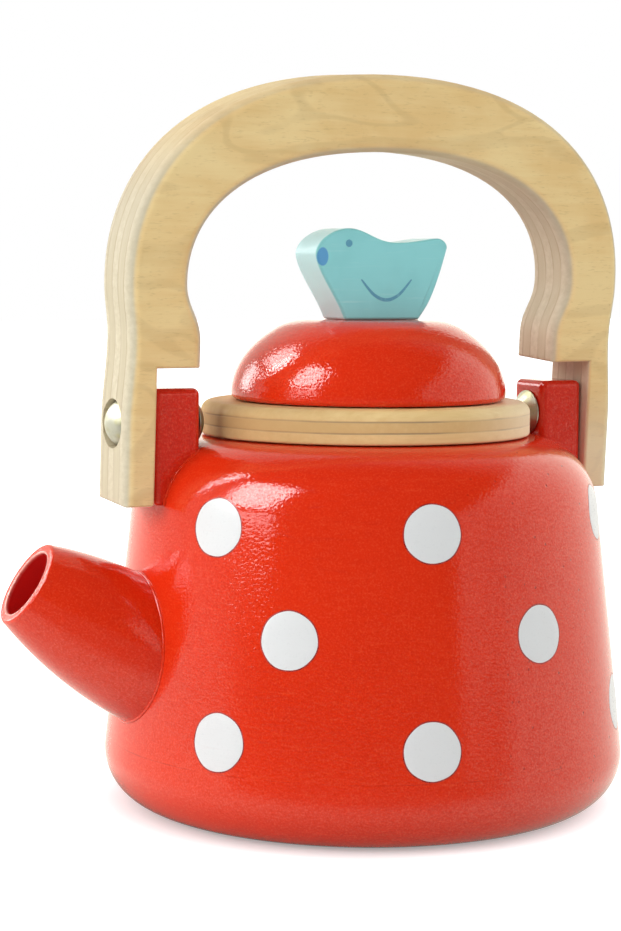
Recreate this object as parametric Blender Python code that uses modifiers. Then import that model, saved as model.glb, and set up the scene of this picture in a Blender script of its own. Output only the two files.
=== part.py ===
"""Wooden toy kettle: a turned body with a coped spout, a swinging plywood handle and a lift-off lid.

Metres, +Z up. The origin is the centre of the base on the floor, and the spout points to -X.
"""
import math

import bmesh
import bpy
from mathutils import Euler, Matrix, Vector

# Fits
GLUE_GAP = 0.0003        # film between two glued faces, and around a dowel in its hole
RUNNING_GAP = 0.0003     # play beside the swinging legs and around the pivot shanks
LID_PLAY = 0.0008        # radial play of the lid's plug in the mouth
HEAD_CLEARANCE = 0.0003  # between a pivot's head and the shoulder under it
NUT_CLEARANCE = 0.0005   # around a cap nut in its recess
NOTCH_CLEARANCE = 0.003  # between the handle's notch and a post's corners as it swings past
GRIP_CLEARANCE = 0.0188  # between the knob and the grip above it

# Body: a cone with a rounded foot and shoulder, bored straight, on a glued base disc
BODY_HEIGHT = 0.0909
BODY_FOOT_RADIUS = 0.0661    # the plain cone, carried down to the floor
BODY_NECK_RADIUS = 0.0557    # the plain cone, carried up to the rim
FOOT_ROUND = 0.013
SHOULDER_ROUND = 0.018
RIM_WIDTH = 0.0056           # flat of the rim, from the mouth to where the shoulder starts
MOUTH_ROUND = 0.001
BASE_THICKNESS = 0.017

# Spout: a tapered turning with a slight swell, bored blind from its tip and coped to the body
SPOUT_ROOT_HEIGHT = 0.0415   # where its axis meets the cone
SPOUT_RISE = math.radians(32.2)
SPOUT_OFF_LINE = math.radians(3.0)    # glued a little off the handle's plane, towards +Y
SPOUT_REACH = 0.0308         # from the cone to the tip, along the axis
SPOUT_TIP_RADIUS = 0.0105
SPOUT_TAPER = math.radians(6.4)
SPOUT_SWELL = 0.0028         # how far the side bows out between its ends
SPOUT_RIM_ROUND = 0.0009
SPOUT_WALL = 0.0024          # around the bore, at the tip
SPOUT_BORE_FLOOR = 0.0052    # wood left between the bore and the dowel
SPOUT_BORE_LIP = 0.0005
SPOUT_ROOT_DEPTH = 0.016     # how far the blank runs on inside the cone before it is coped
SPOUT_DOWEL_RADIUS = 0.005
SPOUT_DOWEL_IN_SPOUT = 0.007
SPOUT_DOWEL_IN_BODY = 0.016

# Posts: square blocks that stand on the shoulder and carry the pivots
POST_OVERHANG = 0.0021       # outer face beyond the body, at the post's foot
POST_THICKNESS = 0.0119      # along X
POST_WIDTH = 0.0136          # along Y
POST_ABOVE_PIVOT = 0.0083
POST_FOOT_BELOW_RIM = 0.015
POST_ROUND = 0.0016
POST_DOWEL_RADIUS = 0.003
POST_DOWEL_INSET = 0.0051    # its axis inside the post's inner face
POST_DOWEL_IN_BODY = 0.012
POST_DOWEL_COVER = 0.0012    # wood left between its end and the pivot's bore

# Handle: a plywood arch whose notched legs hang outside the posts
HANDLE_LEAN = math.radians(3.6)
HANDLE_THICKNESS = 0.018     # along Y
HANDLE_ROUND = 0.0026        # along both faces of the arch
NOTCH_ROUND = 0.0008         # around the notches and the legs' ends, which are only eased
LEG_THICKNESS = 0.0077       # along X
LEG_BELOW_PIVOT = 0.0188
HAUNCH_DEPTH = 0.018         # across the grip just above the notch
WAIST_ABOVE_NOTCH = 0.0058
WAIST_INSET = 0.0011         # outer side, drawn in from the legs
SIDE_ABOVE_WAIST = 0.0145    # where both sides of the grip run straight up
SIDE_DEPTH = 0.0153
CROWN_DEPTH = 0.0185
CROWN_FULLNESS = 0.69        # curve handle at the crown, against the half width
SIDE_FULLNESS = 0.55         # curve handle at the side, against the rise to the crown
BEND_FULLNESS = 0.45         # curve handle of the waist, against the height of its bend

# Pivots: a round-head bolt from inside each post, closed by a cap nut sunk in the leg
PIVOT_SHANK_RADIUS = 0.0025
PIVOT_HEAD_RADIUS = 0.0056
PIVOT_HEAD_HEIGHT = 0.0028
PIVOT_HEAD_EDGE = 0.0003
NUT_RADIUS = 0.0054
NUT_HEIGHT = 0.004
NUT_EDGE = 0.0008
NUT_CROWN = 0.0012           # metal left over the end of the bolt
NUT_SINK = 0.0029            # how deep a cap nut's seat lies in the leg

# Lid: a plug that drops into the mouth, a plywood flange that rests on the rim, and a dome
PLUG_THICKNESS = 0.007
PLUG_ROUND = 0.0012
FLANGE_OVERHANG = 0.0011     # beyond the flat of the rim
FLANGE_THICKNESS = 0.0081
FLANGE_TOP_ROUND = 0.0025
FLANGE_FOOT_ROUND = 0.0007
FLANGE_LEDGE = 0.0067        # flat of the flange that shows round the dome
DOME_HEIGHT = 0.0197
DOME_OFF_CENTRE = 0.0008     # glued a little off the lid's middle, away from the spout
DOME_FLAT_RADIUS = 0.0187    # of the flat on its top
DOME_FOOT_ROUND = 0.0014
LID_DOWEL_RADIUS = 0.004
LID_DOWEL_FLOOR = 0.0025     # wood left under it in the plug
LID_DOWEL_IN_DOME = 0.0075

# Knob: a flat bird, pegged upright on the dome
BIRD_HEIGHT = 0.022
BIRD_THICKNESS = 0.012
BIRD_ROUND = 0.0007
KNOB_DOWEL_RADIUS = 0.003
KNOB_DOWEL_WEB = 0.004       # wood left between the two dowels in the dome
KNOB_DOWEL_IN_BIRD = 0.009

# Fineness of the round forms
BODY_STEPS = 64
LID_STEPS = 56
SPOUT_STEPS = 40
PIN_STEPS = 20
OUTLINE_STEPS = 11
SPOUT_RINGS = 7
HANDLE_ROUND_SEGMENTS = 3
POST_ROUND_SEGMENTS = 3
BIRD_ROUND_SEGMENTS = 2
ARC_SAG = 0.00006        # how far a profile's chords may fall inside its arcs
MERGE_DISTANCE = 0.00001
SHARP_ANGLE = math.radians(45.0)      # edges sharper than this are rounded
STRAIGHT_ANGLE = math.radians(0.2)    # outline points that turn less than this are left out

# Places and sizes that follow from those above
CONE_SLOPE = (BODY_FOOT_RADIUS - BODY_NECK_RADIUS) / BODY_HEIGHT
CONE_ANGLE = math.atan(CONE_SLOPE)
SHOULDER_Z = BODY_HEIGHT - SHOULDER_ROUND
RIM_RADIUS = BODY_FOOT_RADIUS - CONE_SLOPE * SHOULDER_Z - SHOULDER_ROUND / math.cos(CONE_ANGLE)
FOOT_RADIUS = BODY_FOOT_RADIUS - CONE_SLOPE * FOOT_ROUND - FOOT_ROUND / math.cos(CONE_ANGLE)
CAVITY_RADIUS = RIM_RADIUS - RIM_WIDTH
FLANGE_RADIUS = RIM_RADIUS + FLANGE_OVERHANG
DOME_RADIUS = FLANGE_RADIUS - FLANGE_LEDGE
FLANGE_Z = BODY_HEIGHT + GLUE_GAP
DOME_Z = FLANGE_Z + FLANGE_THICKNESS + GLUE_GAP
DOME_TOP_Z = DOME_Z + DOME_HEIGHT
BIRD_Z = DOME_TOP_Z + GLUE_GAP
SPOUT_BORE_RADIUS = SPOUT_TIP_RADIUS - SPOUT_WALL
SPOUT_BORE_DEPTH = SPOUT_REACH - SPOUT_DOWEL_IN_SPOUT - SPOUT_BORE_FLOOR
SPOUT_TURN = Euler((0.0, SPOUT_RISE - math.radians(90.0), -SPOUT_OFF_LINE))
SPOUT_AXIS = SPOUT_TURN.to_matrix() @ Vector((0.0, 0.0, 1.0))
COUNTERBORE_RADIUS = NUT_RADIUS + NUT_CLEARANCE


def circle_reach(radius, offset):
    """How far a circle still reaches sideways at an offset from its centre, down to nothing at its edge."""
    return math.sqrt(max(radius ** 2 - offset ** 2, 0.0))


def body_radius(height):
    """Outer radius of the body at a height: rounded foot, plain cone or rounded shoulder."""
    if height > SHOULDER_Z + SHOULDER_ROUND * math.sin(CONE_ANGLE):
        return RIM_RADIUS + circle_reach(SHOULDER_ROUND, height - SHOULDER_Z)
    if height < FOOT_ROUND + FOOT_ROUND * math.sin(CONE_ANGLE):
        return FOOT_RADIUS + circle_reach(FOOT_ROUND, height - FOOT_ROUND)
    return BODY_FOOT_RADIUS - CONE_SLOPE * height


def shoulder_height(radius):
    """Height of the rounded shoulder at a radius."""
    return SHOULDER_Z + circle_reach(SHOULDER_ROUND, radius - RIM_RADIUS)


# The posts stand just proud of the body, and the pivots as low as their heads clear the shoulder
POST_FOOT_Z = BODY_HEIGHT - POST_FOOT_BELOW_RIM
POST_OUTER_X = body_radius(POST_FOOT_Z) + POST_OVERHANG
POST_INNER_X = POST_OUTER_X - POST_THICKNESS
HEAD_SEAT_X = POST_INNER_X - GLUE_GAP
PIVOT_Z = shoulder_height(HEAD_SEAT_X - PIVOT_HEAD_EDGE) + PIVOT_HEAD_RADIUS + HEAD_CLEARANCE
LEG_INNER_X = POST_OUTER_X + RUNNING_GAP
LEG_OUTER_X = LEG_INNER_X + LEG_THICKNESS
NOTCH_ABOVE_PIVOT = math.hypot(POST_ABOVE_PIVOT, POST_WIDTH / 2.0) + NOTCH_CLEARANCE
GRIP_ABOVE_PIVOT = BIRD_Z + BIRD_HEIGHT + GRIP_CLEARANCE - PIVOT_Z

RED_PAINT = ("red_paint", (0.62, 0.035, 0.018, 1.0), 0.22, 0.0)
BARE_PLY = ("bare_plywood", (0.72, 0.50, 0.27, 1.0), 0.55, 0.0)
BLUE_PAINT = ("blue_paint", (0.20, 0.55, 0.62, 1.0), 0.5, 0.0)
DOWEL_WOOD = ("dowel_wood", (0.66, 0.46, 0.26, 1.0), 0.6, 0.0)
ZINC = ("zinc_plate", (0.62, 0.60, 0.52, 1.0), 0.25, 1.0)


def clear_scene():
    """Remove every object that the file opened with."""
    for obj in list(bpy.data.objects):
        bpy.data.objects.remove(obj, do_unlink=True)


def new_collection(name):
    """Make a collection and link it to the scene."""
    collection = bpy.data.collections.new(name)
    bpy.context.scene.collection.children.link(collection)
    return collection


def material(finish):
    """Return the named Principled material, made on first use."""
    name, colour, roughness, metallic = finish
    found = bpy.data.materials.get(name)
    if found:
        return found
    made = bpy.data.materials.new(name)
    made.use_nodes = True
    shader = made.node_tree.nodes["Principled BSDF"]
    shader.inputs["Base Color"].default_value = colour
    shader.inputs["Roughness"].default_value = roughness
    shader.inputs["Metallic"].default_value = metallic
    return made


def add_part(name, mesh, finish):
    """Link a mesh as one named piece of the kettle, shaded smooth."""
    obj = bpy.data.objects.new(name, mesh)
    PARTS.objects.link(obj)
    mesh.materials.append(material(finish))
    mesh.shade_smooth()
    return obj


def add_cutter(name, mesh):
    """Link a mesh as a cutter, which is no piece of the kettle."""
    obj = bpy.data.objects.new(name, mesh)
    CUTTERS.objects.link(obj)
    obj.hide_render = True
    obj.display_type = "WIRE"
    return obj


def cut(obj, cutter):
    """Take a cutter out of a piece."""
    boolean = obj.modifiers.new("cut_" + cutter.name, "BOOLEAN")
    boolean.operation = "DIFFERENCE"
    boolean.object = cutter


def screw(obj, steps):
    """Turn a profile about its object's Z axis."""
    turn = obj.modifiers.new("turning", "SCREW")
    turn.axis = "Z"
    turn.steps = steps
    turn.render_steps = steps
    turn.use_merge_vertices = True
    turn.merge_threshold = MERGE_DISTANCE


def round_edges(obj, width, segments, limit):
    """Round a piece's edges: every sharp one, by ANGLE, or only those marked, by WEIGHT."""
    bevel = obj.modifiers.new("rounded_edges", "BEVEL")
    bevel.width = width
    bevel.segments = segments
    bevel.limit_method = limit
    bevel.use_clamp_overlap = False


def profile_mesh(name, points, closed):
    """Make a profile of edges in the XZ plane, from (radius, height) points."""
    shape = bmesh.new()
    verts = [shape.verts.new((radius, 0.0, height)) for radius, height in points]
    for start, end in zip(verts, verts[1:]):
        shape.edges.new((start, end))
    if closed:
        shape.edges.new((verts[-1], verts[0]))
    mesh = bpy.data.meshes.new(name)
    shape.to_mesh(mesh)
    shape.free()
    return mesh


def turned_part(name, points, steps, finish, closed=False):
    """Make a turned piece; its profile runs down the outer side."""
    obj = add_part(name, profile_mesh(name, points, closed), finish)
    screw(obj, steps)
    return obj


def turned_cutter(name, points, steps):
    """Make a turned cutter; its profile runs down the outer side."""
    obj = add_cutter(name, profile_mesh(name, points, False))
    screw(obj, steps)
    return obj


def rod_points(radius, low, high):
    """Profile of a plain rod between two heights."""
    return [(0.0, high), (radius, high), (radius, low), (0.0, low)]


def arc(centre, radius, start, end):
    """Points on an arc in the profile plane; angles are in degrees from +X towards +Z."""
    step = math.degrees(2.0 * math.acos(1.0 - ARC_SAG / radius))
    count = max(2, math.ceil(abs(end - start) / step))
    points = []
    for index in range(count + 1):
        angle = math.radians(start + (end - start) * index / count)
        points.append((centre[0] + radius * math.cos(angle), centre[1] + radius * math.sin(angle)))
    return points


def shoulder_points(grow):
    """Outer side of the body from the flat rim round the shoulder, grown by a gap."""
    return arc((RIM_RADIUS, SHOULDER_Z), SHOULDER_ROUND + grow, 90.0, math.degrees(CONE_ANGLE))


def foot_points(grow):
    """Outer side of the body from the cone round the foot to the floor, grown by a gap."""
    return arc((FOOT_RADIUS, FOOT_ROUND), FOOT_ROUND + grow, math.degrees(CONE_ANGLE), -90.0)


def outside_points(high, low):
    """Outer side of the body between two heights, from the upper one down."""
    between = [point for point in shoulder_points(0.0) + foot_points(0.0) if low < point[1] < high]
    return [(body_radius(high), high)] + between + [(body_radius(low), low)]


def body_blank_cutter():
    """The body's whole outside, grown by the glue film, which copes the pieces that sit on it."""
    top = [(0.0, BODY_HEIGHT + GLUE_GAP)]
    bottom = [(0.0, -GLUE_GAP)]
    points = top + shoulder_points(GLUE_GAP) + foot_points(GLUE_GAP) + bottom
    return turned_cutter("body_blank", points, BODY_STEPS)


def make_body():
    """The bored shell and the base disc that closes it."""
    shell_foot = BASE_THICKNESS + GLUE_GAP
    mouth = arc((CAVITY_RADIUS + MOUTH_ROUND, BODY_HEIGHT - MOUTH_ROUND), MOUTH_ROUND, 180.0, 90.0)
    shell_points = mouth + outside_points(BODY_HEIGHT, shell_foot) + [(CAVITY_RADIUS, shell_foot)]
    shell = turned_part("body_shell", shell_points, BODY_STEPS, RED_PAINT, closed=True)
    base_points = [(0.0, BASE_THICKNESS)] + outside_points(BASE_THICKNESS, 0.0) + [(0.0, 0.0)]
    turned_part("base_disc", base_points, BODY_STEPS, RED_PAINT)
    return shell


def spout_side(distance):
    """Outer radius of the spout at a distance below its tip, bowed out towards mid-length."""
    share = distance / (SPOUT_REACH + SPOUT_ROOT_DEPTH)
    return SPOUT_TIP_RADIUS + math.tan(SPOUT_TAPER) * distance + SPOUT_SWELL * 4.0 * share * (1.0 - share)


def spout_points():
    """Profile of the spout's blank: up the blind bore, over the rounded rim and down the outside."""
    points = [(0.0, -SPOUT_BORE_DEPTH), (SPOUT_BORE_RADIUS, -SPOUT_BORE_DEPTH)]
    lip_centre = (SPOUT_BORE_RADIUS + SPOUT_BORE_LIP, -SPOUT_BORE_LIP)
    points += arc(lip_centre, SPOUT_BORE_LIP, 180.0, 90.0)
    rim_centre = (spout_side(SPOUT_RIM_ROUND) - SPOUT_RIM_ROUND, -SPOUT_RIM_ROUND)
    points += arc(rim_centre, SPOUT_RIM_ROUND, 90.0, math.degrees(SPOUT_TAPER))
    blank_length = SPOUT_REACH + SPOUT_ROOT_DEPTH
    for index in range(1, SPOUT_RINGS + 1):
        distance = SPOUT_RIM_ROUND + (blank_length - SPOUT_RIM_ROUND) * index / SPOUT_RINGS
        points.append((spout_side(distance), -distance))
    return points + [(0.0, -blank_length)]


def make_spout(shell, body_blank):
    """The coped spout, and the dowel that pins it to the body."""
    outward = Vector((SPOUT_AXIS.x, SPOUT_AXIS.y, 0.0)).normalized()
    root = outward * body_radius(SPOUT_ROOT_HEIGHT) + Vector((0.0, 0.0, SPOUT_ROOT_HEIGHT))
    tip = root + SPOUT_AXIS * SPOUT_REACH
    spout = turned_part("spout", spout_points(), SPOUT_STEPS, RED_PAINT)
    spout.location = tip
    spout.rotation_euler = SPOUT_TURN
    cut(spout, body_blank)
    dowel_low = -SPOUT_REACH - SPOUT_DOWEL_IN_BODY
    dowel_high = -SPOUT_REACH + SPOUT_DOWEL_IN_SPOUT
    dowel = turned_part(
        "spout_dowel", rod_points(SPOUT_DOWEL_RADIUS, dowel_low, dowel_high), PIN_STEPS, DOWEL_WOOD
    )
    hole_points = rod_points(SPOUT_DOWEL_RADIUS + GLUE_GAP, dowel_low - GLUE_GAP, dowel_high + GLUE_GAP)
    hole = turned_cutter("spout_dowel_hole", hole_points, PIN_STEPS)
    for piece in (dowel, hole):
        piece.location = tip
        piece.rotation_euler = SPOUT_TURN
    cut(spout, hole)
    cut(shell, hole)


def box_mesh(name, low, high):
    """A box between two corners."""
    shape = bmesh.new()
    bmesh.ops.create_cube(shape, size=1.0)
    size = high - low
    place = Matrix.Translation((low + high) / 2.0) @ Matrix.Diagonal((size.x, size.y, size.z, 1.0))
    bmesh.ops.transform(shape, matrix=place, verts=shape.verts)
    mesh = bpy.data.meshes.new(name)
    shape.to_mesh(mesh)
    shape.free()
    return mesh


def make_post(end, side, shell, body_blank):
    """One post, coped to the shoulder, with its hidden dowel; side is -1 at the spout and 1 behind."""
    half = POST_THICKNESS / 2.0
    middle = side * (POST_OUTER_X - half)
    low = Vector((middle - half, -POST_WIDTH / 2.0, POST_FOOT_Z))
    high = Vector((middle + half, POST_WIDTH / 2.0, PIVOT_Z + POST_ABOVE_PIVOT))
    post = add_part("post_" + end, box_mesh("post_" + end, low, high), RED_PAINT)
    round_edges(post, POST_ROUND, POST_ROUND_SEGMENTS, "ANGLE")
    cut(post, body_blank)
    dowel_x = side * (POST_INNER_X + POST_DOWEL_INSET)
    dowel_low = shoulder_height(abs(dowel_x)) - POST_DOWEL_IN_BODY
    dowel_high = PIVOT_Z - PIVOT_SHANK_RADIUS - RUNNING_GAP - POST_DOWEL_COVER
    dowel_points = rod_points(POST_DOWEL_RADIUS, dowel_low, dowel_high)
    dowel = turned_part("post_dowel_" + end, dowel_points, PIN_STEPS, DOWEL_WOOD)
    hole_points = rod_points(POST_DOWEL_RADIUS + GLUE_GAP, dowel_low - GLUE_GAP, dowel_high + GLUE_GAP)
    hole = turned_cutter("post_dowel_hole_" + end, hole_points, PIN_STEPS)
    dowel.location.x = dowel_x
    hole.location.x = dowel_x
    cut(post, hole)
    cut(shell, hole)
    return post


def dome_points(radius, height, edge):
    """Rounded head from its crown down to a short upright edge, on a seat at height zero."""
    rise = height - edge
    sphere = (radius ** 2 + rise ** 2) / (2.0 * rise)
    low_angle = math.degrees(math.asin((sphere - rise) / sphere))
    crown = arc((0.0, height - sphere), sphere, 90.0, low_angle)
    crown[0] = (0.0, height)
    return crown + [(radius, 0.0)]


def make_pivot(end, side, post, handle):
    """One bolt and its cap nut, with the holes that they pass through."""
    nut_seat_x = LEG_OUTER_X - NUT_SINK + RUNNING_GAP
    socket_depth = NUT_HEIGHT - NUT_CROWN
    shank = nut_seat_x - HEAD_SEAT_X + socket_depth - GLUE_GAP
    bolt_points = dome_points(PIVOT_HEAD_RADIUS, PIVOT_HEAD_HEIGHT, PIVOT_HEAD_EDGE)
    bolt_points += [(PIVOT_SHANK_RADIUS, 0.0), (PIVOT_SHANK_RADIUS, -shank), (0.0, -shank)]
    bolt = turned_part("pivot_bolt_" + end, bolt_points, PIN_STEPS, ZINC)
    bolt.location = (side * HEAD_SEAT_X, 0.0, PIVOT_Z)
    bolt.rotation_euler.y = math.radians(-90.0 * side)
    socket_radius = PIVOT_SHANK_RADIUS + GLUE_GAP
    nut_points = dome_points(NUT_RADIUS, NUT_HEIGHT, NUT_EDGE)
    nut_points += [(socket_radius, 0.0), (socket_radius, socket_depth), (0.0, socket_depth)]
    nut = turned_part("cap_nut_" + end, nut_points, PIN_STEPS, ZINC)
    nut.location = (side * nut_seat_x, 0.0, PIVOT_Z)
    nut.rotation_euler.y = math.radians(90.0 * side)
    bore_reach = LEG_OUTER_X + NUT_SINK
    bore_points = rod_points(PIVOT_SHANK_RADIUS + RUNNING_GAP, HEAD_SEAT_X - PIVOT_HEAD_HEIGHT, bore_reach)
    bore = turned_cutter("pivot_bore_" + end, bore_points, PIN_STEPS)
    sink_points = rod_points(COUNTERBORE_RADIUS, LEG_OUTER_X - NUT_SINK, bore_reach)
    sink = turned_cutter("counterbore_" + end, sink_points, PIN_STEPS)
    for cutter in (bore, sink):
        cutter.location.z = PIVOT_Z
        cutter.rotation_euler.y = math.radians(90.0 * side)
    cut(post, bore)
    cut(handle, bore)
    cut(handle, sink)


def outline_mesh(name, points, thickness, rounding):
    """A flat piece cut from board: a closed outline in XZ, with its thickness along Y.

    Each outline point is a place, the direction in which the outline leaves it, in degrees from +X
    towards +Z, and the reach of its curve handles behind and ahead. A corner has no reach. The edges
    of both faces are marked for rounding, and so are the outline's outward corners, each by the share
    of the full round that it takes between two places on the outline.
    """
    curve = bpy.data.curves.new(name + "_outline", "CURVE")
    curve.dimensions = "2D"
    curve.fill_mode = "BOTH"
    curve.extrude = thickness / 2.0
    curve.resolution_u = OUTLINE_STEPS
    spline = curve.splines.new("BEZIER")
    spline.bezier_points.add(len(points) - 1)
    spline.use_cyclic_u = True
    for knot, (place, heading, behind, ahead) in zip(spline.bezier_points, points):
        direction = Vector((math.cos(math.radians(heading)), math.sin(math.radians(heading)), 0.0))
        knot.co = (place[0], place[1], 0.0)
        knot.handle_left_type = "FREE"
        knot.handle_right_type = "FREE"
        knot.handle_left = knot.co - direction * behind
        knot.handle_right = knot.co + direction * ahead
    drawn = bpy.data.objects.new(name + "_outline", curve)
    CUTTERS.objects.link(drawn)
    evaluated = drawn.evaluated_get(bpy.context.evaluated_depsgraph_get())
    mesh = bpy.data.meshes.new_from_object(evaluated)
    bpy.data.objects.remove(drawn, do_unlink=True)
    shape = bmesh.new()
    shape.from_mesh(mesh)
    bmesh.ops.remove_doubles(shape, verts=shape.verts, dist=MERGE_DISTANCE)
    bmesh.ops.dissolve_limit(shape, angle_limit=STRAIGHT_ANGLE, verts=shape.verts, edges=shape.edges)
    bmesh.ops.recalc_face_normals(shape, faces=shape.faces)
    mark = shape.edges.layers.float.new("bevel_weight_edge")
    for edge in shape.edges:
        if edge.is_convex and edge.calc_face_angle() > SHARP_ANGLE:
            edge[mark] = rounding(*(vert.co.xy for vert in edge.verts))
    bmesh.ops.rotate(shape, verts=shape.verts, matrix=Matrix.Rotation(math.radians(90.0), 3, "X"))
    shape.to_mesh(mesh)
    shape.free()
    mesh.materials.clear()
    return mesh


def mirrored_outline(half):
    """Complete an outline whose right half runs from its first crown point to its last."""
    whole = list(half)
    for (x, z), heading, behind, ahead in reversed(half[1:-1]):
        whole.append(((-x, z), -heading, ahead, behind))
    return whole


def handle_points():
    """Right half of the handle, from the grip's underside at the crown round to its top."""
    waist = NOTCH_ABOVE_PIVOT + WAIST_ABOVE_NOTCH
    side = waist + SIDE_ABOVE_WAIST
    crown = GRIP_ABOVE_PIVOT + CROWN_DEPTH
    inner_side = LEG_OUTER_X - SIDE_DEPTH
    haunch = LEG_OUTER_X - WAIST_INSET - HAUNCH_DEPTH
    bend = BEND_FULLNESS * SIDE_ABOVE_WAIST
    inner_rise = SIDE_FULLNESS * (GRIP_ABOVE_PIVOT - side)
    outer_rise = SIDE_FULLNESS * (crown - side)
    return [
        ((0.0, GRIP_ABOVE_PIVOT), 0.0, CROWN_FULLNESS * inner_side, CROWN_FULLNESS * inner_side),
        ((inner_side, side), -90.0, inner_rise, bend),
        ((haunch, waist), -90.0, bend, 0.0),
        ((haunch, NOTCH_ABOVE_PIVOT), 0.0, 0.0, 0.0),
        ((LEG_INNER_X, NOTCH_ABOVE_PIVOT), 0.0, 0.0, 0.0),
        ((LEG_INNER_X, -LEG_BELOW_PIVOT), 0.0, 0.0, 0.0),
        ((LEG_OUTER_X, -LEG_BELOW_PIVOT), 0.0, 0.0, 0.0),
        ((LEG_OUTER_X, 0.0), 90.0, 0.0, bend),
        ((LEG_OUTER_X - WAIST_INSET, waist), 90.0, bend, bend),
        ((LEG_OUTER_X, side), 90.0, bend, outer_rise),
        ((0.0, crown), 180.0, CROWN_FULLNESS * LEG_OUTER_X, CROWN_FULLNESS * LEG_OUTER_X),
    ]


def handle_rounding(start, end):
    """Share of the handle's round: all of it on the arch and down the legs' outer sides."""
    on_arch = max(start.y, end.y) > NOTCH_ABOVE_PIVOT + MERGE_DISTANCE
    on_outside = min(abs(start.x), abs(end.x)) > LEG_OUTER_X - WAIST_INSET - MERGE_DISTANCE
    runs_up = abs(start.y - end.y) > MERGE_DISTANCE
    if on_arch or (on_outside and runs_up):
        return 1.0
    return NOTCH_ROUND / HANDLE_ROUND


def make_handle():
    """The plywood handle, hung on an empty that lies on the pivot axis."""
    pivot = bpy.data.objects.new("handle_pivot", None)
    PARTS.objects.link(pivot)
    pivot.location.z = PIVOT_Z
    pivot.rotation_euler.x = HANDLE_LEAN
    outline = mirrored_outline(handle_points())
    mesh = outline_mesh("handle", outline, HANDLE_THICKNESS, handle_rounding)
    handle = add_part("handle", mesh, BARE_PLY)
    handle.parent = pivot
    round_edges(handle, HANDLE_ROUND, HANDLE_ROUND_SEGMENTS, "WEIGHT")
    return handle


def flat_dome_points():
    """Half ellipse of the lid's dome, cut flat on top, with a rounded foot."""
    flat_angle = math.acos(DOME_FLAT_RADIUS / DOME_RADIUS)
    full_rise = (DOME_HEIGHT - DOME_FOOT_ROUND) / math.sin(flat_angle)
    points = [(0.0, DOME_HEIGHT)]
    for radius, height in arc((0.0, 0.0), DOME_RADIUS, math.degrees(flat_angle), 0.0):
        points.append((radius, DOME_FOOT_ROUND + height * full_rise / DOME_RADIUS))
    foot_centre = (DOME_RADIUS - DOME_FOOT_ROUND, DOME_FOOT_ROUND)
    points += arc(foot_centre, DOME_FOOT_ROUND, 0.0, -90.0)[1:]
    return points + [(0.0, 0.0)]


def flange_points():
    """Plywood disc with a generous round on its upper edge."""
    top_centre = (FLANGE_RADIUS - FLANGE_TOP_ROUND, FLANGE_THICKNESS - FLANGE_TOP_ROUND)
    foot_centre = (FLANGE_RADIUS - FLANGE_FOOT_ROUND, FLANGE_FOOT_ROUND)
    points = [(0.0, FLANGE_THICKNESS)]
    points += arc(top_centre, FLANGE_TOP_ROUND, 90.0, 0.0)
    points += arc(foot_centre, FLANGE_FOOT_ROUND, 0.0, -90.0)
    return points + [(0.0, 0.0)]


def plug_points():
    """Disc under the flange, eased at its foot so that it finds the mouth."""
    radius = CAVITY_RADIUS - LID_PLAY
    foot_centre = (radius - PLUG_ROUND, PLUG_ROUND)
    points = [(0.0, PLUG_THICKNESS), (radius, PLUG_THICKNESS)]
    return points + arc(foot_centre, PLUG_ROUND, 0.0, -90.0) + [(0.0, 0.0)]


def peg(name, radius, low, high, pieces):
    """A dowel on the kettle's axis, with its hole cut in the pieces that it joins."""
    turned_part(name, rod_points(radius, low, high), PIN_STEPS, DOWEL_WOOD)
    hole_points = rod_points(radius + GLUE_GAP, low - GLUE_GAP, high + GLUE_GAP)
    hole = turned_cutter(name + "_hole", hole_points, PIN_STEPS)
    for piece in pieces:
        cut(piece, hole)


def bird_points():
    """Outline of the bird, from the front of its foot round breast, head, back and tail.

    It is drawn with the bird's height as its unit.
    """
    outline = [
        ((0.525, 0.0), 180.0, 0.0, 0.0),
        ((-0.405, 0.0), 110.0, 0.0, 0.240),
        ((-0.765, 0.700), 97.0, 0.194, 0.147),
        ((-0.350, 1.0), 0.0, 0.212, 0.212),
        ((0.240, 0.848), 0.0, 0.258, 0.276),
        ((0.774, 0.899), 0.0, 0.138, 0.055),
        ((0.889, 0.783), 254.0, 0.065, 0.203),
        ((0.654, 0.166), 240.0, 0.184, 0.074),
    ]
    points = []
    for (x, z), heading, behind, ahead in outline:
        place = (x * BIRD_HEIGHT, z * BIRD_HEIGHT)
        points.append((place, heading, behind * BIRD_HEIGHT, ahead * BIRD_HEIGHT))
    return points


def bird_rounding(_start, _end):
    """Share of the bird's round: all of it, everywhere."""
    return 1.0


def make_lid():
    """Plug, flange, dome and bird, stacked on two dowels."""
    plug = turned_part("lid_plug", plug_points(), LID_STEPS, BARE_PLY)
    plug.location.z = FLANGE_Z - GLUE_GAP - PLUG_THICKNESS
    flange = turned_part("lid_flange", flange_points(), LID_STEPS, BARE_PLY)
    flange.location.z = FLANGE_Z
    dome = turned_part("lid_dome", flat_dome_points(), LID_STEPS, RED_PAINT)
    dome.location = (DOME_OFF_CENTRE, 0.0, DOME_Z)
    bird_mesh = outline_mesh("bird_knob", bird_points(), BIRD_THICKNESS, bird_rounding)
    bird = add_part("bird_knob", bird_mesh, BLUE_PAINT)
    bird.location.z = BIRD_Z
    round_edges(bird, BIRD_ROUND, BIRD_ROUND_SEGMENTS, "WEIGHT")
    lid_dowel_low = plug.location.z + LID_DOWEL_FLOOR
    peg("lid_dowel", LID_DOWEL_RADIUS, lid_dowel_low, DOME_Z + LID_DOWEL_IN_DOME, (plug, flange, dome))
    knob_low = DOME_Z + LID_DOWEL_IN_DOME + KNOB_DOWEL_WEB
    peg("knob_dowel", KNOB_DOWEL_RADIUS, knob_low, BIRD_Z + KNOB_DOWEL_IN_BIRD, (dome, bird))


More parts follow.
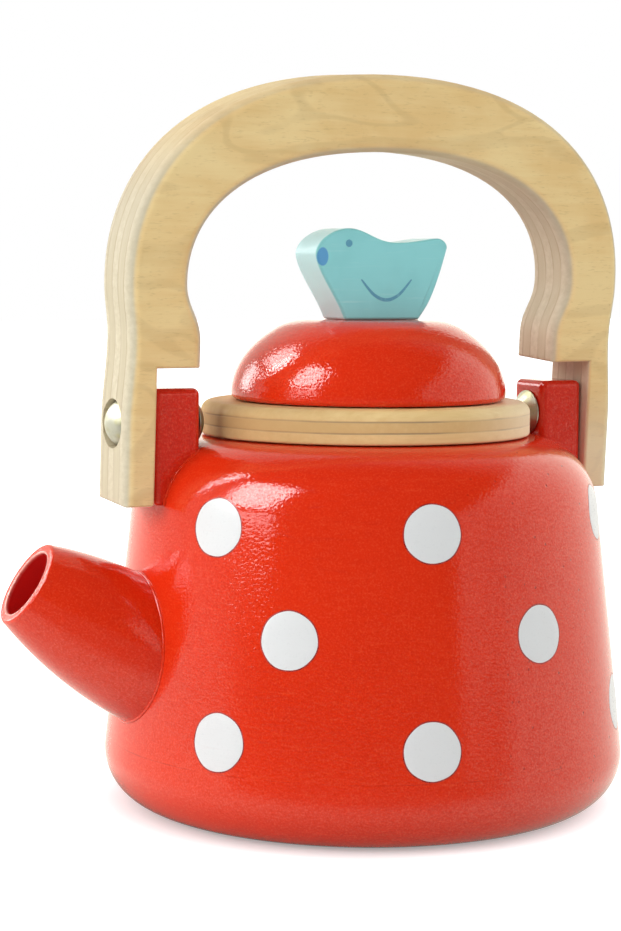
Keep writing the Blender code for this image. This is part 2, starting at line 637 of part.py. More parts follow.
def main():
    """Build the kettle from its base up."""
    body_blank = body_blank_cutter()
    shell = make_body()
    make_spout(shell, body_blank)
    handle = make_handle()
    for end, side in (("front", -1), ("rear", 1)):
        post = make_post(end, side, shell, body_blank)
        make_pivot(end, side, post, handle)
    make_lid()


clear_scene()
PARTS = new_collection("toy_kettle")
CUTTERS = new_collection("toy_kettle_cutters")
main()
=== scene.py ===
"""Looks of the wooden toy kettle: gloss red turnings with white dots, lacquered plywood and a painted bird.

Metres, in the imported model's frame: +Z up, the spout to -X, the base on the floor at the origin.
"""
import math

import bmesh
import bpy
from mathutils import Euler, Matrix, Vector


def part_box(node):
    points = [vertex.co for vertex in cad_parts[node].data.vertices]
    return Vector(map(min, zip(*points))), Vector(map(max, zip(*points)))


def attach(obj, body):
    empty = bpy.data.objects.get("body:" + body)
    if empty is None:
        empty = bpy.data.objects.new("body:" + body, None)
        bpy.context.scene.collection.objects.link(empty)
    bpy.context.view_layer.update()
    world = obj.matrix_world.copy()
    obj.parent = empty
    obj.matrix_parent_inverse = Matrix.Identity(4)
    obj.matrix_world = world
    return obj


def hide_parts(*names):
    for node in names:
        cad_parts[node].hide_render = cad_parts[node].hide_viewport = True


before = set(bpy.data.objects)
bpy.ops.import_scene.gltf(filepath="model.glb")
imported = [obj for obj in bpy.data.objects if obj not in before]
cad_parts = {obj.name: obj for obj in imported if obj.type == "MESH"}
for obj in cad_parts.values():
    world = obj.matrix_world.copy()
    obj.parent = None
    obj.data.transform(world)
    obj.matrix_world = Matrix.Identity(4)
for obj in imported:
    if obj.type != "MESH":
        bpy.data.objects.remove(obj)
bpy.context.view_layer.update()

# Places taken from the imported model
SHELL_LOW, SHELL_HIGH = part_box("body_shell")
POST_LOW, POST_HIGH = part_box("post_rear")
FLANGE_LOW, FLANGE_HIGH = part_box("lid_flange")
DOME_LOW, DOME_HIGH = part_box("lid_dome")
PLUG_LOW, PLUG_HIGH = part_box("lid_plug")
BIRD_LOW, BIRD_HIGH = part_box("bird_knob")
BOLT_LOW, BOLT_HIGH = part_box("pivot_bolt_rear")
NUT_LOW, NUT_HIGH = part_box("cap_nut_rear")
PIVOT_Z = (BOLT_LOW.z + BOLT_HIGH.z) / 2.0

# Body
BODY_HEIGHT = SHELL_HIGH.z
SEAM_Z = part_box("base_disc")[1].z
SHELL_FOOT_Z = SHELL_LOW.z
CONE_FOOT_RADIUS = 0.0661
CONE_NECK_RADIUS = 0.0557
FOOT_ROUND = 0.013
SHOULDER_ROUND = 0.018
RIM_WIDTH = 0.0056
MOUTH_ROUND = 0.001
CONE_SLOPE = (CONE_FOOT_RADIUS - CONE_NECK_RADIUS) / BODY_HEIGHT
CONE_ANGLE = math.atan(CONE_SLOPE)
SHOULDER_Z = BODY_HEIGHT - SHOULDER_ROUND
RIM_RADIUS = CONE_FOOT_RADIUS - CONE_SLOPE * SHOULDER_Z - SHOULDER_ROUND / math.cos(CONE_ANGLE)
FOOT_RADIUS = CONE_FOOT_RADIUS - CONE_SLOPE * FOOT_ROUND - FOOT_ROUND / math.cos(CONE_ANGLE)
CAVITY_RADIUS = RIM_RADIUS - RIM_WIDTH
COPE_GAP = 0.00005

# Spout
SPOUT_ROOT_HEIGHT = 0.0415
SPOUT_RISE = math.radians(32.2)
SPOUT_OFF_LINE = math.radians(3.0)
SPOUT_REACH = 0.0308
SPOUT_TIP_RADIUS = 0.0105
SPOUT_TAPER = math.radians(6.4)
SPOUT_SWELL = 0.0028
SPOUT_RIM_ROUND = 0.0009
SPOUT_BORE_RADIUS = 0.0081
SPOUT_BORE_DEPTH = 0.0186
SPOUT_BORE_LIP = 0.0005
SPOUT_ROOT_DEPTH = 0.016
SPOUT_BEAD = 0.00042
SPOUT_LENGTH = SPOUT_REACH + SPOUT_ROOT_DEPTH
SPOUT_TURN = Euler((0.0, SPOUT_RISE - math.radians(90.0), -SPOUT_OFF_LINE))
SPOUT_AXIS = SPOUT_TURN.to_matrix() @ Vector((0.0, 0.0, 1.0))

# Posts, pivots and handle
POST_ROUND = 0.0016
POST_BEAD = 0.00036
POST_BORE_REACH = 0.02
SHANK_RADIUS = 0.0025
BORE_RADIUS = 0.0028
HEAD_RADIUS = (BOLT_HIGH.z - BOLT_LOW.z) / 2.0
HEAD_EDGE = 0.0003
HEAD_HEIGHT = 0.0028
NUT_RADIUS = (NUT_HIGH.z - NUT_LOW.z) / 2.0
NUT_EDGE = 0.0008
NUT_CLEARANCE = 0.0005
NUT_SINK = 0.0029
SOCKET_DEPTH = 0.0028
CUT_PAST = 0.003
HANDLE_LEAN = math.radians(3.6)
HANDLE_THICKNESS = 0.018
HANDLE_ROUND = 0.0026
NOTCH_ROUND = 0.0008
LEG_INNER_X = 0.05979
LEG_OUTER_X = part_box("handle")[1].x
LEG_BELOW_PIVOT = 0.0188
NOTCH_ABOVE_PIVOT = 0.01373
GRIP_ABOVE_PIVOT = 0.065168
HAUNCH_DEPTH = 0.018
WAIST_ABOVE_NOTCH = 0.0058
WAIST_INSET = 0.0011
SIDE_ABOVE_WAIST = 0.0145
SIDE_DEPTH = 0.0153
CROWN_DEPTH = 0.0185
CROWN_FULLNESS = 0.69
SIDE_FULLNESS = 0.55
BEND_FULLNESS = 0.45

# Lid and bird
FLANGE_TOP_ROUND = 0.0025
FLANGE_FOOT_ROUND = 0.0007
DOME_FLAT_RADIUS = 0.0187
DOME_FLAT_EASE = 0.0042
DOME_FOOT_ROUND = 0.0014
PLUG_ROUND = 0.0012
BIRD_HEIGHT = BIRD_HIGH.z - BIRD_LOW.z
BIRD_THICKNESS = BIRD_HIGH.y - BIRD_LOW.y
BIRD_ROUND = 0.0007

# White dots
DOT_RADIUS = 0.0068
DOT_FILM = 0.00012
# Width and film of the dark ring of painted shade round each dot
DOT_EDGE_WIDTH = 0.00020
DOT_EDGE_FILM = 0.00005
DOT_CROWN = 10

# Waves round a dot's edge: share of its radius, number, and shift from dot to dot
DOT_WAVES = [(0.008, 3.0, 1.0), (0.005, 7.0, 2.0)]

# Height of each pair of dots, and angle from +X in degrees on either side of the spout's plane
DOT_PAIRS = [
    (0.0727, 153.7), (0.0727, 102.6), (0.0736, 42.0),
    (0.0485, 134.1), (0.0485, 75.9), (0.0485, 17.7),
    (0.0242, 149.4), (0.0242, 103.6), (0.0269, 40.5),
]
REAR_DOT = (0.0242, 0.0)

# Fineness
BODY_STEPS = 256
LID_STEPS = 224
SPOUT_STEPS = 144
PIN_STEPS = 64
OUTLINE_STEPS = 28
CONE_STEPS = 12
ROUND_STEPS = 6
BIRD_ROUND_STEPS = 4
BEAD_STEPS = 3
ARC_STEP = 5.0
ARC_FEWEST = 4
SHARP_ANGLE = math.radians(40.0)
CORNER_ANGLE = math.radians(45.0)
STRAIGHT_ANGLE = math.radians(0.05)
MERGE_DISTANCE = 0.00001
FLAT_WEIGHT = 100

# Camera, matched to the photograph
CAMERA_PLACE = Vector((-0.26295, -0.49176, 0.13386))
CAMERA_FORWARD = Vector((0.4482, 0.8893, -0.0911))
CAMERA_UP = Vector((0.0345, 0.0846, 0.9958))
CAMERA_LENS = 86.93
CAMERA_SENSOR = 36.0
CAMERA_NEAREST = 0.01


# Mesh helpers

def circle_reach(radius, offset):
    """How far a circle still reaches sideways at an offset from its centre."""
    return math.sqrt(max(radius ** 2 - offset ** 2, 0.0))


def body_radius(height):
    """Outer radius of the body at a height."""
    if height > SHOULDER_Z + SHOULDER_ROUND * math.sin(CONE_ANGLE):
        return RIM_RADIUS + circle_reach(SHOULDER_ROUND, height - SHOULDER_Z)
    if height < FOOT_ROUND + FOOT_ROUND * math.sin(CONE_ANGLE):
        return FOOT_RADIUS + circle_reach(FOOT_ROUND, height - FOOT_ROUND)
    return CONE_FOOT_RADIUS - CONE_SLOPE * height


def shoulder_height(radius):
    """Height of the rounded shoulder at a radius."""
    return SHOULDER_Z + circle_reach(SHOULDER_ROUND, radius - RIM_RADIUS)


def polar(radius, angle):
    """The two coordinates of a place at a radius and an angle in radians."""
    return radius * math.cos(angle), radius * math.sin(angle)


def arc(centre, radius, start, end, count=None):
    """Points on an arc in a plane; angles are in degrees from its first axis towards its second."""
    count = count or max(ARC_FEWEST, math.ceil(abs(end - start) / ARC_STEP))
    points = []
    for index in range(count + 1):
        across, along = polar(radius, math.radians(start + (end - start) * index / count))
        points.append((centre[0] + across, centre[1] + along))
    return points


def mesh_from(shape, name):
    """Turn a bmesh into a mesh with outward normals, smooth apart from its sharp edges."""
    bmesh.ops.recalc_face_normals(shape, faces=shape.faces)
    mesh = bpy.data.meshes.new(name)
    shape.to_mesh(mesh)
    shape.free()
    mesh.shade_smooth()
    mesh.set_sharp_from_angle(angle=SHARP_ANGLE)
    return mesh


def place(name, data):
    """Link a mesh, curve, lamp or camera to the scene as an object."""
    obj = bpy.data.objects.new(name, data)
    bpy.context.scene.collection.objects.link(obj)
    return obj


def turned(name, points, steps, closed=False):
    """A turning about Z from a profile of (radius, height) points."""
    shape = bmesh.new()
    rings = []
    for radius, height in points:
        count = steps if radius > MERGE_DISTANCE else 1
        ring = []
        for index in range(count):
            ring.append(shape.verts.new((*polar(radius, math.tau * index / steps), height)))
        rings.append(ring)
    following = rings[1:] + rings[:1] if closed else rings[1:]
    for upper, lower in zip(rings, following):
        for index in range(steps):
            after = index + 1
            corners = [upper[index % len(upper)], lower[index % len(lower)]]
            corners += [lower[after % len(lower)], upper[after % len(upper)]]
            shape.faces.new(list(dict.fromkeys(corners)))
    return place(name, mesh_from(shape, name))


def final_mesh(obj):
    """A mesh of an object as its modifiers or its curve's settings leave it."""
    bpy.context.view_layer.update()
    return bpy.data.meshes.new_from_object(obj.evaluated_get(bpy.context.evaluated_depsgraph_get()))


def settle(piece):
    """Apply a piece's modifiers to its mesh."""
    mesh = final_mesh(piece)
    piece.modifiers.clear()
    piece.data = mesh


def carve(piece, cutters):
    """Take cutters out of a piece."""
    for cutter in cutters:
        boolean = piece.modifiers.new(cutter.name, "BOOLEAN")
        boolean.operation = "DIFFERENCE"
        boolean.solver = "EXACT"
        boolean.object = cutter


def discard(objects):
    """Remove cutters and lines that have done their work."""
    for obj in objects:
        bpy.data.objects.remove(obj, do_unlink=True)


def soften(piece, width, segments, limit):
    """Round a piece's edges when its modifiers are applied."""
    bevel = piece.modifiers.new("round", "BEVEL")
    bevel.width = width
    bevel.segments = segments
    bevel.limit_method = limit
    bevel.use_clamp_overlap = False


def shade(piece):
    """Apply a piece's modifiers and shade it by its larger faces, so that its flats stay flat."""
    settle(piece)
    piece.data.shade_smooth()
    piece.data.set_sharp_from_angle(angle=SHARP_ANGLE)
    weighted = piece.modifiers.new("flats", "WEIGHTED_NORMAL")
    weighted.keep_sharp = True
    weighted.weight = FLAT_WEIGHT
    settle(piece)


def drawn_mesh(name, curve):
    """The mesh of a curve."""
    drawn = place(name + "_line", curve)
    mesh = final_mesh(drawn)
    discard([drawn])
    return mesh


def tube(name, points, radius, closed):
    """A round bead along a line of points."""
    curve = bpy.data.curves.new(name, "CURVE")
    curve.dimensions = "3D"
    curve.bevel_depth = radius
    curve.bevel_resolution = BEAD_STEPS
    curve.use_fill_caps = True
    spline = curve.splines.new("POLY")
    spline.points.add(len(points) - 1)
    spline.use_cyclic_u = closed
    for knot, point in zip(spline.points, points):
        knot.co = (*point, 1.0)
    mesh = drawn_mesh(name, curve)
    mesh.shade_smooth()
    return place(name, mesh)


def outlined(name, points, thickness, rounding=None):
    """A flat piece cut from board: a closed outline in XZ, with its thickness along Y.

    Each outline point is a place, the direction in which the outline leaves it, in degrees from +X
    towards +Z, and the reach of its curve handles behind and ahead. The rounding gives each edge its share
    of the round, and without one every edge has all of it.
    """
    curve = bpy.data.curves.new(name, "CURVE")
    curve.dimensions = "2D"
    curve.fill_mode = "BOTH"
    curve.extrude = thickness / 2.0
    curve.resolution_u = OUTLINE_STEPS
    spline = curve.splines.new("BEZIER")
    spline.bezier_points.add(len(points) - 1)
    spline.use_cyclic_u = True
    for knot, (spot, heading, behind, ahead) in zip(spline.bezier_points, points):
        direction = Vector((*polar(1.0, math.radians(heading)), 0.0))
        knot.co = (spot[0], spot[1], 0.0)
        knot.handle_left_type = "FREE"
        knot.handle_right_type = "FREE"
        knot.handle_left = knot.co - direction * behind
        knot.handle_right = knot.co + direction * ahead
    shape = bmesh.new()
    shape.from_mesh(drawn_mesh(name, curve))
    bmesh.ops.remove_doubles(shape, verts=shape.verts, dist=MERGE_DISTANCE)
    bmesh.ops.dissolve_limit(shape, angle_limit=STRAIGHT_ANGLE, verts=shape.verts, edges=shape.edges)
    bmesh.ops.recalc_face_normals(shape, faces=shape.faces)
    mark = shape.edges.layers.float.new("bevel_weight_edge")
    for edge in shape.edges:
        if edge.is_convex and edge.calc_face_angle() > CORNER_ANGLE:
            edge[mark] = rounding(*(vert.co.xy for vert in edge.verts)) if rounding else 1.0
    bmesh.ops.rotate(shape, verts=shape.verts, matrix=Matrix.Rotation(math.radians(90.0), 3, "X"))
    mesh = mesh_from(shape, name)
    mesh.materials.clear()
    return place(name, mesh)


def belongs(piece, body, slot, material, *nodes):
    """Give a piece its material and its body, and hide the CAD nodes that it stands for. The slot is not
    used.
    """
    piece.data.materials.clear()
    piece.data.materials.append(material)
    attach(piece, body)
    if nodes:
        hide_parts(*nodes)


# Material helpers

# Places of a Mix node's colour inputs and of its colour output
MIX_COLOURS = (6, 7)
MIX_RESULT = 2


class Nodes:
    """The nodes of a material or of the world, with short calls to add them."""

    def __init__(self, owner):
        owner.use_nodes = True
        self.tree = owner.node_tree

    def feed(self, socket, value):
        """Set a socket to a plain value, or link it to another node's output."""
        if isinstance(value, bpy.types.NodeSocket):
            self.tree.links.new(value, socket)
        else:
            socket.default_value = value

    def add(self, kind, *values, operation=None, **named):
        """A node with its inputs fed in order, or by name with an underscore for each space."""
        node = self.tree.nodes.new(kind)
        if operation:
            node.operation = operation
        for socket, value in zip(node.inputs, values):
            self.feed(socket, value)
        for name, value in named.items():
            self.feed(node.inputs[name.replace("_", " ")], value)
        return node

    def math(self, operation, first, second=0.0):
        return self.add("ShaderNodeMath", first, second, operation=operation).outputs[0]

    def times(self, first, *others):
        """Values multiplied together."""
        for other in others:
            first = self.math("MULTIPLY", first, other)
        return first

    def squares(self, first, second):
        """Sum of two squares."""
        return self.math("ADD", self.times(first, first), self.times(second, second))

    def split(self, vector):
        """A vector's three parts."""
        return self.add("ShaderNodeSeparateXYZ", vector).outputs

    def towards(self, vector, direction):
        """How far a vector goes in a direction."""
        return self.add("ShaderNodeVectorMath", vector, direction, operation="DOT_PRODUCT").outputs["Value"]

    def span(self, value, low, high, out_low=0.0, out_high=1.0):
        """Map a range smoothly onto another, and hold it at the ends."""
        ends = {"From_Min": low, "From_Max": high, "To_Min": out_low, "To_Max": out_high}
        node = self.add("ShaderNodeMapRange", Value=value, **ends)
        node.interpolation_type = "SMOOTHSTEP"
        return node.outputs["Result"]

    def blend(self, share, first, second):
        """Mix two colours."""
        node = self.add("ShaderNodeMix")
        node.data_type = "RGBA"
        self.feed(node.inputs["Factor"], share)
        for index, value in zip(MIX_COLOURS, (first, second)):
            self.feed(node.inputs[index], (*value, 1.0) if isinstance(value, tuple) else value)
        return node.outputs[MIX_RESULT]

    def overlap(self, *reaches):
        """Values that are each mapped onto a share, multiplied together."""
        return self.times(*(self.span(*reach) for reach in reaches))

    def coated(self, colour, *coats):
        """A colour under others, each with the value that brings it out, its range and its top share."""
        for other, value, *reach in coats:
            if reach:
                low, high, *most = reach
                value = self.span(value, low, high, 0.0, *most)
            colour = self.blend(value, colour, other)
        return colour


class Finish(Nodes):
    """A material under construction, on its Principled shader."""

    def __init__(self, name):
        self.material = bpy.data.materials.new(name)
        super().__init__(self.material)
        self.shader = self.tree.nodes["Principled BSDF"]
        self.spot = self.add("ShaderNodeTexCoord").outputs["Object"]
        self.parts = self.split(self.spot)

    def noise(self, scale, detail=3.0, rough=0.55, twist=0.0):
        """Noise with one scale per metre, or with one for each axis and drawn out along the smallest."""
        spot = self.spot
        if isinstance(scale, tuple):
            spot = self.add("ShaderNodeVectorMath", spot, scale, operation="MULTIPLY").outputs[0]
            scale = 1.0
        settings = {"Scale": scale, "Detail": detail, "Roughness": rough, "Distortion": twist}
        return self.add("ShaderNodeTexNoise", Vector=spot, **settings).outputs["Fac"]

    def cells(self, scale):
        """Distance to scattered points, and a steady random value for each."""
        node = self.add("ShaderNodeTexVoronoi", Vector=self.spot, Scale=scale)
        luck = self.add("ShaderNodeSeparateColor", node.outputs["Color"]).outputs[0]
        return node.outputs["Distance"], luck

    def from_axis(self):
        """Distance from the piece's own Z axis."""
        return self.math("SQRT", self.squares(self.parts[0], self.parts[1]))

    def relief(self, *layers):
        """Bumps laid over one another, each with its depth in metres."""
        normal = None
        for height, depth in layers:
            node = self.add("ShaderNodeBump", Strength=1.0, Distance=depth, Height=height)
            if normal is not None:
                self.feed(node.inputs["Normal"], normal)
            normal = node.outputs["Normal"]
        return normal

    def done(self, colour, roughness, normal, **others):
        """The finished material; other inputs of the shader are given by name."""
        inputs = {"Base Color": colour, "Roughness": roughness, "Normal": normal, **others}
        for name, value in inputs.items():
            self.feed(self.shader.inputs[name.replace("_", " ")], value)
        return self.material


# Red paint: colours, scales per metre and depths in metres
RED = (0.78, 0.031, 0.005)
RED_POSTS = (0.70, 0.024, 0.009)
RED_DEEP = (0.60, 0.018, 0.004)
RED_PALE = (0.86, 0.095, 0.030)
RED_SPECK = (0.16, 0.008, 0.005)
# Painted highlight for the spout's lip, and painted shade for its bore
RED_LIP_PAINTED_HIGHLIGHT = (0.82, 0.34, 0.28)
RED_BORE_PAINTED_SHADE = (0.60, 0.012, 0.010)
SEAM_SHADE = (0.20, 0.010, 0.006)
DRIFT_SCALE = 22.0
PATCH_SCALE = 46.0
GRIT_SCALE = 2300.0
PIT_SCALE = 330.0
PIMPLE_SCALE = 430.0
PEEL_SCALE = 300.0
CRACKLE_SCALE = 1500.0
PEEL_DEPTH = 0.000012
STREAK_DEPTH = 0.000010
DASH_DEPTH = 0.000028
CRACKLE_DEPTH = 0.000038
PIMPLE_DEPTH = 0.000015
PIT_DEPTH = 0.00006

# Where the seam's line fades out, the painted shade in the spout's bore, and the painted highlight on the
# spout's lip, past its bore's side and along it
SEAM_REACH = (0.00018, 0.00006)
BORE_REACH = (0.0003, 0.0001)
LIP_INNER_REACH = (-0.0001, 0.0002)
LIP_OUTER_REACH = (0.0007, 0.0004)
LIP_END_REACH = (-0.0010, -0.0004)


def red_paint(name, base, grain, dash, pitted, feature=None, rough=1.0, wear=1.0):
    """Gloss red paint over wood, whose grain and short dashes show through along their smallest scale.

    Pitted and wear are the shares of small pits and of paler edges, and rough deepens the fine relief.
    """
    paint = Finish(name)
    drift = paint.noise(DRIFT_SCALE, 2.0)
    streak = paint.noise(grain, 5.0, 0.62)
    patch = paint.noise(PATCH_SCALE, 2.0)
    fine = paint.noise(dash, 1.0, 0.5)
    grit = paint.noise(GRIT_SCALE, 1.0, 0.5)
    dark = paint.overlap((streak, 0.52, 0.74), (patch, 0.40, 0.66))
    distance, luck = paint.cells(PIT_SCALE)
    to_right = (paint.parts[0], -0.02, 0.03, 0.0, pitted)
    pit = paint.overlap((distance, 0.14, 0.06), (luck, 0.42, 0.43), to_right)
    edge = paint.add("ShaderNodeNewGeometry").outputs["Pointiness"]
    worn = paint.overlap((edge, 0.545, 0.62), (streak, 0.35, 0.62, 0.25 * wear, 0.8 * wear))
    colour = paint.coated(
        base,
        (RED_DEEP, drift, 0.30, 0.72, 0.22),
        (RED_PALE, streak, 0.46, 0.24, 0.22),
        (RED_DEEP, paint.times(dark, 0.30)),
        (RED_PALE, grit, 0.50, 0.72, 0.26),
        (RED_DEEP, grit, 0.50, 0.28, 0.34),
        (RED_SPECK, pit),
        (RED_PALE, worn),
    )
    if feature:
        colour = feature(paint, colour, streak)
    bumps, chance = paint.cells(PIMPLE_SCALE)
    pimple = paint.overlap((bumps, 0.22, 0.02), (chance, 0.80, 0.82))
    relief = paint.relief(
        (paint.noise(PEEL_SCALE, 2.0, 0.5), PEEL_DEPTH),
        (streak, STREAK_DEPTH),
        (fine, rough * DASH_DEPTH),
        (paint.noise(CRACKLE_SCALE, 1.0, 0.5), rough * CRACKLE_DEPTH),
        (pimple, PIMPLE_DEPTH),
        (pit, -PIT_DEPTH),
    )
    gloss = paint.math("ADD", paint.span(fine, 0.3, 0.7, 0.05, 0.10), paint.times(dark, 0.10))
    shine = paint.span(grit, 0.30, 0.62, 0.26, 0.58)
    return paint.done(colour, gloss, relief, IOR=1.5, Specular_IOR_Level=shine)


def seam_line(paint, colour, streak):
    """A fine dark line where the base is glued on, broken by the paint that bridges it."""
    off = paint.math("ABSOLUTE", paint.math("SUBTRACT", paint.parts[2], SEAM_Z))
    line = paint.overlap((off, *SEAM_REACH), (streak, 0.36, 0.66, 0.0, 0.26))
    return paint.blend(line, colour, SEAM_SHADE)


def spout_mouth(paint, colour, streak):
    """Painted shade deep in the spout's bore, and a pale ring of painted highlight on the bore's lip."""
    past_bore = paint.math("SUBTRACT", paint.from_axis(), SPOUT_BORE_RADIUS)
    # The lip's pale ring is painted highlight; the deep red below the lip is painted shade in the bore.
    ring = paint.overlap(
        (past_bore, *LIP_INNER_REACH),
        (past_bore, *LIP_OUTER_REACH),
        (paint.parts[2], *LIP_END_REACH),
        (streak, 0.25, 0.55, 0.35, 0.85),
    )
    return paint.coated(colour, (RED_BORE_PAINTED_SHADE, past_bore, *BORE_REACH), (RED_LIP_PAINTED_HIGHLIGHT, ring))


WHITE = (0.785, 0.782, 0.780)
WHITE_THIN = (0.78, 0.66, 0.63)

# Depths of the relief in the dots' and the bird's paint
BRUSH_DEPTH = 0.00003
FINE_DEPTH = 0.00001


def white_paint():
    """Dots of white paint over the red, a little thin here and there."""
    paint = Finish("white_dot_paint")
    streak = paint.noise((60.0, 60.0, 1500.0), 4.0, 0.6)
    patch = paint.noise(90.0)
    fine = paint.noise(1500.0, 3.0, 0.6)
    thin = paint.overlap((streak, 0.56, 0.80), (patch, 0.45, 0.70))
    colour = paint.blend(paint.times(thin, 0.45), WHITE, WHITE_THIN)
    relief = paint.relief((streak, BRUSH_DEPTH), (fine, FINE_DEPTH))
    return paint.done(colour, paint.span(fine, 0.3, 0.7, 0.26, 0.38), relief, Specular_IOR_Level=0.25)


# Plywood: the axis that its plies are stacked along, for the handle's board and for the lid's discs
BOARD_AXIS = 1
DISC_AXIS = 2
PLY_FACE_PALE = (0.92, 0.70, 0.35)
PLY_FACE_WARM = (0.84, 0.58, 0.258)
# Painted shade for the board's core high on its arch, and painted light for its legs and for a disc's +X
# side; the streak brown also paints shade on a disc's -X side
PLY_CORE_PAINTED_SHADE = (0.44, 0.38, 0.275)
PLY_LEG_PAINTED_LIGHT = (0.85, 0.73, 0.54)
PLY_RIM_PAINTED_LIGHT = (0.95, 0.84, 0.65)
PLY_GLUE = (0.36, 0.25, 0.15)
PLY_STREAK_AND_PAINTED_SHADE = (0.46, 0.28, 0.12)
PLY_GLUE_SHARE = {BOARD_AXIS: 0.46, DISC_AXIS: 0.85}
PLY_VENEER = 0.0009
PLY_WAVER = 0.25
PLY_RINGS = 48.0
PLY_GRAIN_DEPTH = 0.00004
PLY_CROSS_DEPTH = 0.00002
PLY_GLUE_DEPTH = 0.00005
PLY_GRAIN = (45.0, 620.0, 620.0)
PLY_CROSS_GRAIN = {BOARD_AXIS: (620.0, 620.0, 45.0), DISC_AXIS: (620.0, 45.0, 620.0)}


def plywood(name, axis, low, thickness, plies, seed, core_pale, core_warm):
    """Lacquered birch plywood: stacked plies with crossed grain, golden faces and glue lines.

    The board's edges are paler down its legs, most on the rear leg, as painted light, and darker high on the
    arch, as painted shade; it is golden over its crown. A disc is browner at its -X side, as painted shade,
    and paler at its +X side, as painted light.
    """
    wood = Finish(name)
    wood.spot = wood.add("ShaderNodeVectorMath", wood.spot, (seed, seed, seed), operation="ADD").outputs[0]
    x, y, z = wood.parts
    depth = wood.math("SUBTRACT", z if axis == DISC_AXIS else y, low)
    waver = wood.times(wood.math("SUBTRACT", wood.noise(45.0, 2.0), 0.5), PLY_WAVER)
    layer = wood.math("ADD", wood.times(depth, plies / thickness), waver)
    layer = wood.math("MINIMUM", wood.math("MAXIMUM", layer, 0.5), plies - 0.5)
    within = wood.math("FRACT", layer)
    crossed = wood.math("FLOORED_MODULO", wood.math("FLOOR", layer), 2.0)
    edge = wood.math("MINIMUM", within, wood.math("SUBTRACT", 1.0, within))
    grain_first = wood.noise(PLY_GRAIN, 5.0, 0.65)
    grain_second = wood.noise(PLY_CROSS_GRAIN[axis], 5.0, 0.65)
    mottle = wood.noise((45.0, 70.0, 70.0), 3.0, 0.5, 0.4)
    pores = wood.noise((500.0, 2600.0, 2600.0), 2.0, 0.5)
    rings = wood.noise((16.0, 16.0, 34.0), 2.0, 0.5, 0.8)
    lines = wood.noise((26.0, 900.0, 900.0), 3.0, 0.5)
    rare = wood.noise(30.0, 1.0)
    tone = wood.math("ADD", wood.times(grain_first, 0.30), wood.times(mottle, 0.70))
    figure = wood.math("SINE", wood.times(rings, PLY_RINGS))
    face = wood.coated(
        PLY_FACE_PALE,
        (PLY_FACE_WARM, tone, 0.36, 0.66),
        (PLY_STREAK_AND_PAINTED_SHADE, pores, 0.56, 0.76, 0.22),
        (PLY_STREAK_AND_PAINTED_SHADE, figure, 0.45, 1.0, 0.16),
    )
    long_ply = wood.coated(core_pale, (core_warm, grain_first, 0.10, 0.90))
    end_ply = wood.coated(core_pale, (core_warm, grain_second, -0.25, 0.70))
    if axis == BOARD_AXIS:
        # Painted light pales the legs' edges, most on the rear leg, and painted shade darkens the core high
        # on the arch; over the crown the edges take the golden face colour of their long grain.
        legs = wood.overlap((z, 0.012, -0.012), (x, -0.06, 0.06, 0.06, 0.55))
        shaded = (PLY_CORE_PAINTED_SHADE, z, 0.020, 0.050, 0.34)
        ends = [(PLY_LEG_PAINTED_LIGHT, legs), (face, z, 0.050, 0.082, 0.70)]
    else:
        # Crossed plies are browner; painted shade browns the disc's -X side, and painted light pales its +X
        # side.
        shaded = (PLY_STREAK_AND_PAINTED_SHADE, wood.times(crossed, 0.22))
        ends = [(PLY_STREAK_AND_PAINTED_SHADE, x, -0.012, -0.041, 0.55), (PLY_RIM_PAINTED_LIGHT, x, 0.0, 0.038, 0.60)]
    core = wood.coated(long_ply, (end_ply, crossed), shaded)
    in_face = wood.math("MINIMUM", depth, wood.math("SUBTRACT", thickness, depth))
    dark = wood.overlap((lines, 0.66, 0.78), (rare, 0.50, 0.62))
    glue = wood.overlap((edge, 0.12, 0.02), (mottle, 0.30, 0.60, 0.25, 0.95))
    colour = wood.coated(
        face,
        (core, in_face, 0.1 * PLY_VENEER, 0.8 * PLY_VENEER),
        (PLY_STREAK_AND_PAINTED_SHADE, wood.times(dark, 0.40)),
        (PLY_GLUE, wood.times(glue, PLY_GLUE_SHARE[axis])),
        *ends,
    )
    relief = wood.relief(
        (grain_first, PLY_GRAIN_DEPTH),
        (grain_second, PLY_CROSS_DEPTH),
        (glue, -PLY_GLUE_DEPTH),
    )
    return wood.done(colour, wood.span(grain_first, 0.3, 0.7, 0.44, 0.58), relief, Specular_IOR_Level=0.04)


BLUE = (0.285, 0.735, 0.75)
BLUE_DEEP = (0.235, 0.645, 0.665)
# Pale blue of streaks, and of the painted sheen round the bird's edge
BLUE_PALE_AND_PAINTED_SHEEN = (0.72, 0.96, 0.97)
BEAK_BLUE = (0.105, 0.38, 0.70)
BEAK_PLACE = (-0.0152, 0.0151)
BEAK_REACH = (0.0015, 0.0022)


